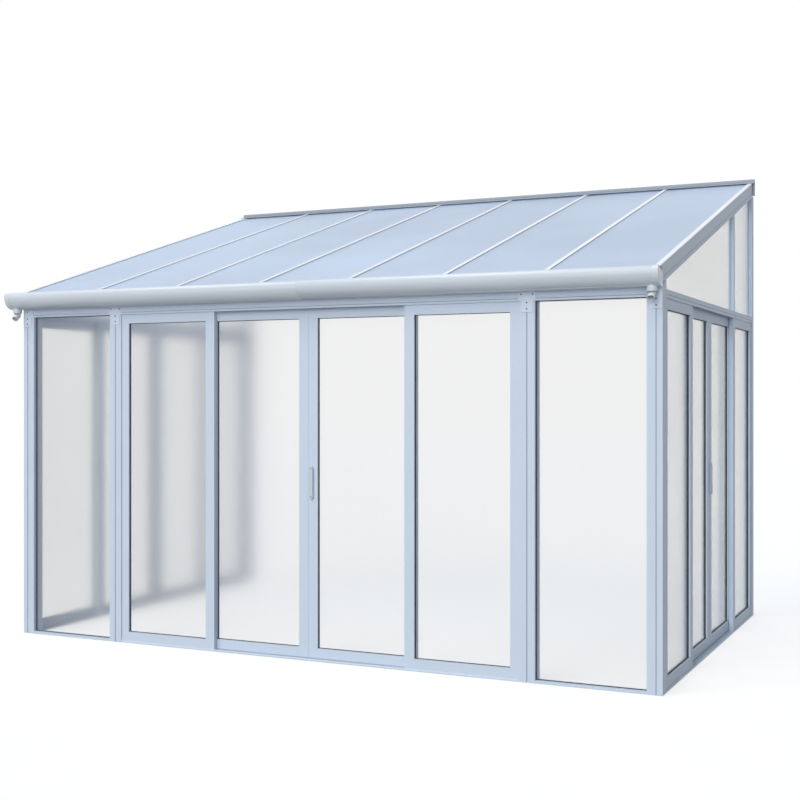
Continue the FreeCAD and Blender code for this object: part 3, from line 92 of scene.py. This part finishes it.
def shade_between(tree, value, tone, tint, target, low=0.0, high=1.0):
    """Feeds the target a colour that runs from the tint scaled by the tone up to the tint itself as
    the value goes from low to high."""
    shade = tree.nodes.new("ShaderNodeValToRGB")
    first, last = shade.color_ramp.elements
    first.position = low
    first.color = (tint[0] * tone[0], tint[1] * tone[1], tint[2] * tone[2], 1)
    last.position = high
    last.color = (*tint, 1)
    tree.links.new(value, shade.inputs["Fac"])
    tree.links.new(shade.outputs["Color"], target)


def spread_between(tree, value, low, high, target):
    """Feeds the target a number that runs from low to high as the value goes from nought to one."""
    spread = tree.nodes.new("ShaderNodeMapRange")
    spread.inputs["To Min"].default_value = low
    spread.inputs["To Max"].default_value = high
    tree.links.new(value, spread.inputs["Value"])
    tree.links.new(spread.outputs["Result"], target)


def relief(tree, value, strength, depth, target):
    """Feeds the target a normal bumped by the value, with depth in metres."""
    bump = tree.nodes.new("ShaderNodeBump")
    bump.inputs["Strength"].default_value = strength
    bump.inputs["Distance"].default_value = depth
    tree.links.new(value, bump.inputs["Height"])
    tree.links.new(bump.outputs["Normal"], target)


def powder_coat(name, tint, roughness, sheen):
    """Baked powder paint: a faint cloudiness of colour, a fine orange-peel bump and a satin
    gloss that drifts slightly, all from noise on object coordinates. Narrow recesses and inner
    corners of the piece itself are darkened with painted shade."""
    material, tree, shader, place = new_finish(name)
    shader.inputs["Specular IOR Level"].default_value = sheen
    cloud = noise(tree, place, scale=3.0, detail=3.0)
    peel = noise(tree, place, scale=420.0, detail=2.0)
    # Painted shade: an ambient-occlusion node darkens the colour in the piece's own grooves and inner
    # corners.
    painted_recess_shade = tree.nodes.new("ShaderNodeAmbientOcclusion")
    painted_recess_shade.only_local = True
    painted_recess_shade.samples = PAINTED_SHADE_SAMPLES
    painted_recess_shade.inputs["Distance"].default_value = PAINTED_SHADE_REACH
    shade_between(tree, cloud, CLOUD_TONE, tint, painted_recess_shade.inputs["Color"], low=0.3, high=0.7)
    tree.links.new(painted_recess_shade.outputs["Color"], shader.inputs["Base Color"])
    matt_low, matt_high = roughness - GLOSS_DRIFT, roughness + GLOSS_DRIFT
    spread_between(tree, cloud, matt_low, matt_high, shader.inputs["Roughness"])
    relief(tree, peel, strength=0.06, depth=PEEL_DEPTH, target=shader.inputs["Normal"])
    return material


def dress(material, *names, ease=0.0):
    """Gives CAD nodes their finish; ease rounds their edges by that many metres."""
    for name in names:
        node = nodes[name]
        node.data.materials.clear()
        node.data.materials.append(material)
        if ease:
            weld = node.modifiers.new("weld", "WELD")
            weld.merge_threshold = WELD_REACH
            bevel = node.modifiers.new("eased", "BEVEL")
            bevel.width = ease
            bevel.segments = 2
            bevel.limit_method = "ANGLE"
            bevel.harden_normals = True


frame_coat = powder_coat("frame_coat", COAT_WHITE, roughness=0.42, sheen=0.16)
dress(frame_coat, "door_sills", "bay_sills", ease=EXTRUSION_EASE)

# Floor screws: zinc-plated steel with a pan head, a cross recess and a plain shank. Five of them go
# through the outer track of the front sill into the floor.
SCREW_COLUMNS = 32
SCREW_REACH = 0.02
SHANK_RINGS = 4
DOME_RINGS = 7
DOME_TURN = 1.2
DOME_BASE = 0.35
CROWN_RINGS = 11
CROSS_ARM = 0.16
CROSS_REACH = 0.62
CROSS_DEPTH = 0.55
FLOOR_HEAD_RADIUS = 0.004
FLOOR_HEAD_HEIGHT = 0.0025
FLOOR_SHANK_RADIUS = 0.002
STEEL_GREY = (0.16, 0.17, 0.19)
PATCH_TONE = (0.7, 0.7, 0.7)
POLISH_LOW = 0.28
POLISH_HIGH = 0.45
MERGE_REACH = 0.000002
SHARP_EDGE = 40


def pan_screw(radius, height, shank_radius, shank_length):
    """Ring grid of a screw along +Z: up the shank, out under the head, over its domed edge and in
    to the middle, where two crossing grooves sink the rings."""
    dome = np.linspace(0, DOME_TURN, DOME_RINGS)
    crown = np.linspace(math.cos(DOME_TURN), 0, CROWN_RINGS)[1:]
    dome_up = DOME_BASE + (1 - DOME_BASE) * np.sin(dome)
    crown_up = np.full(len(crown), dome_up[-1])
    shank_across = [0, shank_radius, shank_radius, radius]
    shank_up = [-shank_length, -shank_length, 0, 0]
    across = np.concatenate([shank_across, radius * np.cos(dome), radius * crown])
    up = np.concatenate([shank_up, height * dome_up, height * crown_up])
    turn = np.linspace(0, 2 * math.pi, SCREW_COLUMNS, endpoint=False)
    x = across[:, None] * np.cos(turn)
    y = across[:, None] * np.sin(turn)
    groove = np.minimum(np.abs(x), np.abs(y)) < CROSS_ARM * radius
    reach = np.maximum(np.abs(x), np.abs(y)) < CROSS_REACH * radius
    top = np.arange(len(across))[:, None] > SHANK_RINGS
    z = up[:, None] - np.where(groove & reach & top, CROSS_DEPTH * height, 0)
    return np.stack([x, y, z], axis=-1)


def surface(name, points):
    """Mesh through ring grids shaped (copies, rows, columns, 3): every row is a closed ring, quads
    join each ring to the next, and rings that shrink to a point or a line close the ends."""
    copies, rows, columns = points.shape[:3]
    corner = np.arange(copies * rows * columns).reshape(copies, rows, columns)
    ahead = np.roll(corner, -1, axis=2)
    quads = np.stack([corner[:, :-1], ahead[:, :-1], ahead[:, 1:], corner[:, 1:]], axis=-1)
    mesh = bpy.data.meshes.new(name)
    mesh.from_pydata(points.reshape(-1, 3).tolist(), [], quads.reshape(-1, 4).tolist())
    shell = bmesh.new()
    shell.from_mesh(mesh)
    bmesh.ops.remove_doubles(shell, verts=shell.verts, dist=MERGE_REACH)
    bmesh.ops.recalc_face_normals(shell, faces=shell.faces)
    shell.to_mesh(mesh)
    shell.free()
    mesh.polygons.foreach_set("use_smooth", np.ones(len(mesh.polygons), bool))
    mesh.set_sharp_from_angle(angle=math.radians(SHARP_EDGE))
    piece = bpy.data.objects.new(name, mesh)
    bpy.context.scene.collection.objects.link(piece)
    return piece


def screw_middles(name):
    """Middles of a node's screws: the corners within reach of the first one left are one screw."""
    mesh = nodes[name].data
    corners = np.empty(len(mesh.vertices) * 3)
    mesh.vertices.foreach_get("co", corners)
    corners = corners.reshape(-1, 3)
    middles = []
    while len(corners):
        near = np.linalg.norm(corners - corners[0], axis=1) < SCREW_REACH
        middles.append((corners[near].min(axis=0) + corners[near].max(axis=0)) / 2)
        corners = corners[~near]
    return np.array(middles)


def plated_steel(name, tint):
    """Zinc-plated steel: metal with small crystalline patches of lighter and darker grey."""
    material, tree, shader, place = new_finish(name)
    shader.inputs["Metallic"].default_value = 1.0
    patches = tree.nodes.new("ShaderNodeTexVoronoi")
    patches.inputs["Scale"].default_value = 900.0
    tree.links.new(place, patches.inputs["Vector"])
    patch = patches.outputs["Distance"]
    shade_between(tree, patch, PATCH_TONE, tint, shader.inputs["Base Color"])
    spread_between(tree, patch, POLISH_LOW, POLISH_HIGH, shader.inputs["Roughness"])
    return material


def settle(piece, material, body, slot, *replaced):
    """Gives a new piece its finish and its body and hides the nodes that it stands for. The slot is not
    used.
    """
    piece.data.materials.append(material)
    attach(piece, body)
    if replaced:
        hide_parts(*replaced)


screw_steel = plated_steel("screw_steel", STEEL_GREY)
floor_low, floor_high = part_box("floor_screws")
head_z = floor_high.z - FLOOR_HEAD_HEIGHT
floor_screw = pan_screw(FLOOR_HEAD_RADIUS, FLOOR_HEAD_HEIGHT, FLOOR_SHANK_RADIUS, head_z - floor_low.z)
middles = screw_middles("floor_screws")
middles[:, 2] = head_z
floor_screws = surface("floor_screw_heads", middles[:, None, None] + floor_screw)
settle(floor_screws, screw_steel, "enclosure", "steel", "floor_screws")

# Corner posts: hollow square extrusions with grooves down the front, standing on the floor. Slots in
# them take the bay panes and the side doors, and their tops are cut to the roof slope.
dress(frame_coat, "corner_posts", ease=EXTRUSION_EASE)

# Door posts: hollow extrusions with the same grooves, between the fixed bays and the front door. They
# stand on the floor and reach up to the eaves beam.
dress(frame_coat, "door_posts", ease=EXTRUSION_EASE)

# Wall posts: hollow extrusions that stand against the house wall, rebated for the side doors. The upper
# ends of the edge rafters rest on them.
dress(frame_coat, "wall_posts", ease=EXTRUSION_EASE)

# Eaves beam: a hollow extrusion across the front between the corner posts. Two channels underneath guide
# the doors, and its sloping top carries the lower ends of the rafters.
dress(frame_coat, "eaves_beam", ease=EXTRUSION_EASE)

# Side beams: hollow extrusions over the side doors, from the corner posts to the wall posts, with guide
# channels underneath and a slot on top for the gable panes.
dress(frame_coat, "side_beams", ease=EXTRUSION_EASE)

# Post brackets: flat aluminium plates screwed over the joints between the posts and the eaves beam,
# coated a shade lighter than the extrusions.
BRACKET_WHITE = (0.65, 0.725, 0.825)
BRACKET_EASE = 0.0004
bracket_coat = powder_coat("bracket_coat", BRACKET_WHITE, roughness=0.35, sheen=0.3)
dress(bracket_coat, "post_brackets", ease=BRACKET_EASE)

# Bracket screws: the same plated pan heads with a cross recess, fourteen in all. They hold the brackets
# to the posts and to the eaves beam.
BRACKET_HEAD_RADIUS = 0.0045
bracket_low, bracket_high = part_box("bracket_screws")
head = pan_screw(BRACKET_HEAD_RADIUS, bracket_high.y - bracket_low.y, 0, 0)
front_head = np.stack([head[..., 0], -head[..., 2], head[..., 1]], axis=-1)
middles = screw_middles("bracket_screws")
middles[:, 1] = bracket_high.y
bracket_screws = surface("bracket_screw_heads", middles[:, None, None] + front_head)
settle(bracket_screws, screw_steel, "enclosure", "steel", "bracket_screws")

# Wall plate: an aluminium section bolted to the house wall, with a shelf under the rafters and a hood
# over the upper ends of the roof panels. Its coat is a shade greyer.
PLATE_GREY = (0.37, 0.41, 0.47)
plate_coat = powder_coat("plate_coat", PLATE_GREY, roughness=0.4, sheen=0.2)
dress(plate_coat, "wall_plate", ease=EXTRUSION_EASE)

# Rafters: hollow bars that run up the roof slope, the six inner ones from the eaves beam to the wall
# plate. The two over the side walls are deeper and slotted underneath for the gable panes.
dress(frame_coat, "rafters", "edge_rafters", ease=EXTRUSION_EASE)

# Gable mullions: short uprights between the side beam and the edge rafter, one in each gable, slotted
# for a pane on either side.
dress(frame_coat, "gable_mullions", ease=EXTRUSION_EASE)

# Roof panels: translucent plastic sheets with a cool tint and a satin surface. They lie on the rafters,
# edge to edge between the stems of the caps.
PLASTIC_INDEX = 1.58
SATIN_DRIFT = 0.008


def frosted(name, tint, drift, roughness, shade, mirror, clearness):
    """Satin sheet: rough refraction with a dimmed reflection and a veil of haze. A broad noise lets
    its tint drift down by the factor drift, a fine one moves the roughness, and shadow and diffuse
    rays pass straight through with the sheet's own shade."""
    material, tree, shader, place = new_finish(name)
    shader.inputs["Transmission Weight"].default_value = clearness
    shader.inputs["IOR"].default_value = PLASTIC_INDEX
    shader.inputs["Specular Tint"].default_value = (*mirror, 1)
    broad = noise(tree, place, scale=0.55, detail=2.0)
    broad.node.noise_dimensions = "4D"
    broad.node.inputs["W"].default_value = 3.0
    grain = noise(tree, place, scale=160.0, detail=2.0)
    tone = (drift, drift, drift)
    shade_between(tree, broad, tone, tint, shader.inputs["Base Color"], low=0.42, high=0.58)
    matt_low, matt_high = roughness - SATIN_DRIFT, roughness + SATIN_DRIFT
    spread_between(tree, grain, matt_low, matt_high, shader.inputs["Roughness"])
    path = tree.nodes.new("ShaderNodeLightPath")
    passing = tree.nodes.new("ShaderNodeMath")
    passing.operation = "MAXIMUM"
    clear = tree.nodes.new("ShaderNodeBsdfTransparent")
    clear.inputs["Color"].default_value = (*shade, 1)
    mix = tree.nodes.new("ShaderNodeMixShader")
    tree.links.new(path.outputs["Is Shadow Ray"], passing.inputs[0])
    tree.links.new(path.outputs["Is Diffuse Ray"], passing.inputs[1])
    tree.links.new(passing.outputs["Value"], mix.inputs["Fac"])
    tree.links.new(shader.outputs["BSDF"], mix.inputs[1])
    tree.links.new(clear.outputs["BSDF"], mix.inputs[2])
    tree.links.new(mix.outputs["Shader"], tree.nodes["Material Output"].inputs["Surface"])
    return material


roof_sheet = frosted("roof_sheet", tint=(0.64, 0.76, 0.94), drift=0.86, roughness=0.35,
                     shade=(0.8, 0.87, 0.94), mirror=(0.42, 0.55, 0.75), clearness=0.45)
dress(roof_sheet, "roof_panels")

# Rafter caps: coated aluminium bars over the joints of the roof panels, each with a stem down to its
# rafter. The end caps reach out over the edge rafters.
CAP_WHITE = (0.92, 0.95, 0.97)
CAP_EASE = 0.0015
cap_coat = powder_coat("cap_coat", CAP_WHITE, roughness=0.32, sheen=0.5)
dress(cap_coat, "rafter_caps", ease=CAP_EASE)

# Gutter: two lengths of rounded aluminium trough with a rolled rim, fixed to the front of the eaves beam
# and joined by an inner sleeve. A plate closes each end, and an outlet elbow hangs under it.
GUTTER_WHITE = (0.68, 0.73, 0.79)
GUTTER_EASE = 0.0005
gutter_coat = powder_coat("gutter_coat", GUTTER_WHITE, roughness=0.24, sheen=0.5)
dress(gutter_coat, "gutter_left", "gutter_right", "gutter_joiner", ease=GUTTER_EASE)
dress(gutter_coat, "gutter_end_caps", "gutter_outlets", ease=GUTTER_EASE)

# Gutter sleeves: thin bands of the same coated metal that stand out from the end plates and grip the
# outside of the trough at both ends.
SLEEVE_LENGTH = 0.033
SLEEVE_WALL = 0.0009
SLEEVE_END_Y = -0.112
RIM_RADIUS = 0.022
RIM_POINTS = 13
TROUGH_RADIUS = 0.082
TROUGH_POINTS = 25


def arc(middle_y, middle_z, radius, turn):
    """Points of a circle across the gutter at the given angles, and the directions out of them."""
    out = np.stack([np.cos(turn), np.sin(turn)], axis=1)
    return np.array([middle_y, middle_z]) + radius * out, out


end_low, end_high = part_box("gutter_end_caps")
rim_turn = np.linspace(math.pi / 2, math.pi, RIM_POINTS)
last_turn = math.pi + math.acos((end_low.y + TROUGH_RADIUS - SLEEVE_END_Y) / TROUGH_RADIUS)
low_turn = np.linspace(math.pi, last_turn, TROUGH_POINTS)
rim_line, rim_out = arc(end_low.y + RIM_RADIUS, end_high.z - RIM_RADIUS, RIM_RADIUS, rim_turn)
low_line, low_out = arc(end_low.y + TROUGH_RADIUS, end_low.z + TROUGH_RADIUS, TROUGH_RADIUS, low_turn)
skin_line = np.concatenate([rim_line, low_line])
outer_line = skin_line + np.concatenate([rim_out, low_out]) * SLEEVE_WALL
middle_line = (outer_line + skin_line) / 2
ring = np.concatenate([outer_line, skin_line[::-1]])
flat_ring = np.concatenate([middle_line, middle_line[::-1]])
sleeves = []
for start, end in ((end_low.x, end_low.x + SLEEVE_LENGTH), (end_high.x - SLEEVE_LENGTH, end_high.x)):
    stations = [(start, flat_ring), (start, ring), (end, ring), (end, flat_ring)]
    sleeves.append([np.column_stack([np.full(len(line), x), line]) for x, line in stations])
settle(surface("gutter_sleeves", np.array(sleeves)), gutter_coat, "enclosure", "gutter")

# Door leaves: frames of two stiles and two rails cut from hollow coated extrusions. The outer two of
# each door stand fixed in the outer track, and the inner two roll along the inner one.
SLIDERS = ("front_slider_left", "front_slider_right", "right_slider_front", "right_slider_rear",
           "left_slider_rear", "left_slider_front")
dress(frame_coat, "fixed_leaf_frames", *SLIDERS)

# Wall panes: plastic sheets with a satin surface, which blur what stands behind them the more the
# further away it is. They sit in slots of the bays, the gables and the door leaves.
glazing = frosted("wall_glazing", tint=(0.89, 0.89, 0.89), drift=0.985, roughness=0.15,
                  shade=(0.95, 0.95, 0.95), mirror=(0.06, 0.06, 0.06), clearness=0.94)
dress(glazing, "bay_panes", "gable_panes", "fixed_leaf_panes", *[name + "_pane" for name in SLIDERS])

# Gaskets: black rubber profiles pressed in all round in front of the panes of the bays and the door
# leaves, which hold them tight in their slots.
RUBBER_BLACK = (0.025, 0.03, 0.036)
GRAIN_TONE = (0.8, 0.8, 0.8)
GRAIN_DEPTH = 0.0003


def moulded(name, tint, matt_low, matt_high):
    """Moulded rubber or plastic: one base colour with a fine grain in its shade, gloss and bump."""
    material, tree, shader, place = new_finish(name)
    grain = noise(tree, place, scale=700.0, detail=3.0)
    shade_between(tree, grain, GRAIN_TONE, tint, shader.inputs["Base Color"])
    spread_between(tree, grain, matt_low, matt_high, shader.inputs["Roughness"])
    relief(tree, grain, strength=0.2, depth=GRAIN_DEPTH, target=shader.inputs["Normal"])
    return material


black_rubber = moulded("black_rubber", RUBBER_BLACK, matt_low=0.55, matt_high=0.85)
dress(black_rubber, "fixed_gaskets", *[name + "_gasket" for name in SLIDERS])

# Rollers: turned nylon wheels on pins in the bottom rails, two under each sliding leaf. The groove in
# the tread straddles the ridge of the sill.
NYLON_CREAM = (0.62, 0.61, 0.57)
ROLLER_COLUMNS = 48
ROLLER_PROFILE = ((0.0029, -0.004), (0.0114, -0.004), (0.012, -0.0034), (0.012, -0.0026), (0.01, -0.0021),
                  (0.01, 0.0021), (0.012, 0.0026), (0.012, 0.0034), (0.0114, 0.004), (0.0029, 0.004),
                  (0.0029, -0.004))


def wheel(wall):
    """Ring grid of a roller: the profile of radius and width turned about the wheel's axle, which
    lies across its wall."""
    turn = np.linspace(0, 2 * math.pi, ROLLER_COLUMNS, endpoint=False)
    profile = np.array(ROLLER_PROFILE)
    across = np.repeat(profile[:, 1:], ROLLER_COLUMNS, axis=1)
    ahead = profile[:, :1] * np.cos(turn)
    above = profile[:, :1] * np.sin(turn)
    return np.stack([ahead, across, above] if wall == "front" else [across, ahead, above], axis=-1)


nylon = moulded("nylon", NYLON_CREAM, matt_low=0.35, matt_high=0.5)
for slider in SLIDERS:
    for number in (1, 2):
        node = "%s_wheel_%d" % (slider, number)
        low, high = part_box(node)
        tread = np.array((low + high) / 2) + wheel(slider.split("_")[0])
        settle(surface(node + "_tread", tread[None]), nylon, node, "roller", node)

# Pull handles: moulded grips with rounded ends, a softened face and a finger hollow along one side. Two
# screws hold each to the meeting stile of one leaf of its door.
GRIP_GREY = (0.58, 0.65, 0.71)
HANDLE_HALF = 0.012
HANDLE_STRAIGHT = 0.086
HANDLE_REACH = 0.013
HANDLE_EDGE = 0.0035
SIDE_POINTS = 41
END_POINTS = 15
WALL_RINGS = 13
EDGE_RINGS = 6
FINGER_DEPTH = 0.007
FINGER_HALF = 0.074
FINGER_FADE = 0.008
FINGER_LIP = 0.002
FINGER_SLOPE = 0.0015
HANDLE_SCREW_Z = 0.083
HANDLE_SCREW_RADIUS = 0.0038
HANDLE_SCREW_HEIGHT = 0.0014


def grip():
    """Ring grid of a handle standing along Z and facing -Y: a stadium outline goes up the wall,
    round the edge and in to its middle line; the +X wall is hollowed for the fingers."""
    side = np.linspace(-HANDLE_STRAIGHT, HANDLE_STRAIGHT, SIDE_POINTS)
    end = np.full(END_POINTS, HANDLE_STRAIGHT)
    bend = np.linspace(0, math.pi, END_POINTS + 2)[1:-1]
    flat = np.ones(SIDE_POINTS)
    line_z = np.concatenate([side, end, side[::-1], -end])
    out_x = np.concatenate([flat, np.cos(bend), -flat, -np.cos(bend)])
    out_z = np.concatenate([flat * 0, np.sin(bend), flat * 0, -np.sin(bend)])
    wall_top = HANDLE_REACH - HANDLE_EDGE
    wall = np.linspace(0, wall_top, WALL_RINGS)
    quarter = np.linspace(0, math.pi / 2, EDGE_RINGS + 1)[1:]
    inset = np.concatenate([[HANDLE_HALF], wall * 0, HANDLE_EDGE * (1 - np.cos(quarter)), [HANDLE_HALF]])
    reach = np.concatenate([[0], wall, wall_top + HANDLE_EDGE * np.sin(quarter), [HANDLE_REACH]])
    span = HANDLE_HALF - inset[:, None]
    along = np.clip((FINGER_HALF - np.abs(line_z)) / FINGER_FADE, 0, 1)
    height = np.clip(np.minimum(reach - FINGER_LIP, wall_top - reach) / FINGER_SLOPE, 0, 1)
    hollow = FINGER_DEPTH * height[:, None] * along * (out_x == 1)
    x = span * out_x - hollow
    z = line_z + span * out_z
    y = np.broadcast_to(-reach[:, None], x.shape)
    return np.stack([x, y, z], axis=-1)


grey_grip = moulded("grey_grip", GRIP_GREY, matt_low=0.35, matt_high=0.5)
head = pan_screw(HANDLE_SCREW_RADIUS, HANDLE_SCREW_HEIGHT, 0, 0)
front_head = np.stack([head[..., 0], -HANDLE_REACH - head[..., 2], head[..., 1]], axis=-1)
screw_pair = np.stack([front_head + (0, 0, HANDLE_SCREW_Z), front_head - (0, 0, HANDLE_SCREW_Z)])
HANDLES = {"front": ("front_slider_right", 0), "right": ("right_slider_rear", 1),
           "left": ("left_slider_front", -1)}
for wall, (slider, quarter_turns) in HANDLES.items():
    turned = math.pi / 2 * quarter_turns
    cosine, sine = math.cos(turned), math.sin(turned)
    spin = np.array([[cosine, sine, 0], [-sine, cosine, 0], [0, 0, 1]])
    low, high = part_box(wall + "_handle")
    foot = np.array((low + high) / 2) + np.array([0, HANDLE_REACH / 2, 0]) @ spin
    handle = surface(wall + "_grip", (foot + grip() @ spin)[None])
    settle(handle, grey_grip, slider, "handle", wall + "_handle")
    settle(surface(wall + "_grip_screws", foot + screw_pair @ spin), screw_steel, slider, "steel")

# Background: an even cool light from all round, which the camera, reflections and the glazing see as
# plain white.
SKY_TINT = (0.8, 0.89, 1.0)
SKY_STRENGTH = 0.34


def seen_directly(tree):
    """Socket that is one for camera, glossy and transmission rays and nought for the rest."""
    path = tree.nodes.new("ShaderNodeLightPath")
    first = tree.nodes.new("ShaderNodeMath")
    first.operation = "MAXIMUM"
    second = tree.nodes.new("ShaderNodeMath")
    second.operation = "MAXIMUM"
    tree.links.new(path.outputs["Is Camera Ray"], first.inputs[0])
    tree.links.new(path.outputs["Is Glossy Ray"], first.inputs[1])
    tree.links.new(first.outputs["Value"], second.inputs[0])
    tree.links.new(path.outputs["Is Transmission Ray"], second.inputs[1])
    return second.outputs["Value"]


world = bpy.data.worlds.new("studio")
bpy.context.scene.world = world
world.use_nodes = True
sky = world.node_tree
backdrop = sky.nodes["Background"]
backdrop.inputs["Color"].default_value = (*SKY_TINT, 1)
backdrop.inputs["Strength"].default_value = SKY_STRENGTH
white = sky.nodes.new("ShaderNodeBackground")
white.inputs["Color"].default_value = (1, 1, 1, 1)
blend = sky.nodes.new("ShaderNodeMixShader")
sky.links.new(seen_directly(sky), blend.inputs["Fac"])
sky.links.new(backdrop.outputs["Background"], blend.inputs[1])
sky.links.new(white.outputs["Background"], blend.inputs[2])
sky.links.new(blend.outputs["Shader"], sky.nodes["World Output"].inputs["Surface"])

# Floor: one large pale matt sheet just under the sills, lifted to white where it is seen, which keeps
# the shadow of the enclosure.
FLOOR_HALF = 40.0
FLOOR_DROP = 0.002
FLOOR_TINT = (0.36, 0.36, 0.36)
FLOOR_LIFT = (0.72, 0.72, 0.72)
corners = np.array([(-1, -1, 0), (1, -1, 0), (1, 1, 0), (-1, 1, 0)]) * FLOOR_HALF - (0, 0, FLOOR_DROP)
floor_mesh = bpy.data.meshes.new("floor")
floor_mesh.from_pydata(corners.tolist(), [], [(0, 1, 2, 3)])
floor = bpy.data.objects.new("floor", floor_mesh)
bpy.context.scene.collection.objects.link(floor)
floor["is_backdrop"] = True
paving, floor_tree, floor_shader = new_finish("pale_floor")[:3]
floor_shader.inputs["Base Color"].default_value = (*FLOOR_TINT, 1)
floor_shader.inputs["Roughness"].default_value = 0.9
floor_shader.inputs["Specular IOR Level"].default_value = 0.0
floor_shader.inputs["Emission Color"].default_value = (*FLOOR_LIFT, 1)
floor_tree.links.new(seen_directly(floor_tree), floor_shader.inputs["Emission Strength"])
floor_mesh.materials.append(paving)

# Light: a broad key lamp from the upper left in front, a low one from the front, which reaches under
# the gutter, and two that light matt surfaces only, one low from behind and a soft one in the room.
# Spread, tilt and swing are in degrees.
LAMPS = {"key": {"strength": 1.45, "spread": 40, "tilt": 40, "swing": -28, "mirrored": True},
         "fill": {"strength": 1.5, "spread": 50, "tilt": 77, "swing": 6, "mirrored": True},
         "back": {"strength": 0.8, "spread": 16, "tilt": 84, "swing": 205, "mirrored": False}}
ROOM_POWER = 25.0
ROOM_RADIUS = 0.4
ROOM_PLACE = (0, 1.35, 1.75)
for name, setting in LAMPS.items():
    lamp_data = bpy.data.lights.new(name, "SUN")
    lamp_data.energy = setting["strength"]
    lamp_data.angle = math.radians(setting["spread"])
    lamp = bpy.data.objects.new(name, lamp_data)
    lamp.rotation_euler = (math.radians(setting["tilt"]), 0, math.radians(setting["swing"]))
    lamp.visible_glossy = setting["mirrored"]
    lamp.visible_transmission = setting["mirrored"]
    bpy.context.scene.collection.objects.link(lamp)
room_data = bpy.data.lights.new("room_lamp", "POINT")
room_data.energy = ROOM_POWER
room_data.shadow_soft_size = ROOM_RADIUS
room_lamp = bpy.data.objects.new("room_lamp", room_data)
room_lamp.location = ROOM_PLACE
room_lamp.visible_camera = False
room_lamp.visible_glossy = False
room_lamp.visible_transmission = False
bpy.context.scene.collection.objects.link(room_lamp)

# Camera: at eye height, in front of the right-hand corner, with the photograph's framing. Its focal
# length is in pixels of that square picture.
FOCAL_PIXELS = 1278.06
IMAGE_PIXELS = 800
CAMERA_PLACE = (3.698, -6.643, 1.5555)
CAMERA_SWING = 25.02
CAMERA_SHIFT = -0.0036
camera_data = bpy.data.cameras.new("camera")
camera_data.sensor_width = 36.0
camera_data.lens = camera_data.sensor_width * FOCAL_PIXELS / IMAGE_PIXELS
camera_data.shift_y = CAMERA_SHIFT
camera = bpy.data.objects.new("camera", camera_data)
camera.location = CAMERA_PLACE
camera.rotation_euler = (math.pi / 2, 0, math.radians(CAMERA_SWING))
bpy.context.scene.collection.objects.link(camera)
bpy.context.scene.camera = camera
bpy.context.scene.view_settings.view_transform = "Standard"

# Sizes: the box that the dressed part takes up, without the floor and the hidden nodes.
low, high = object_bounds()
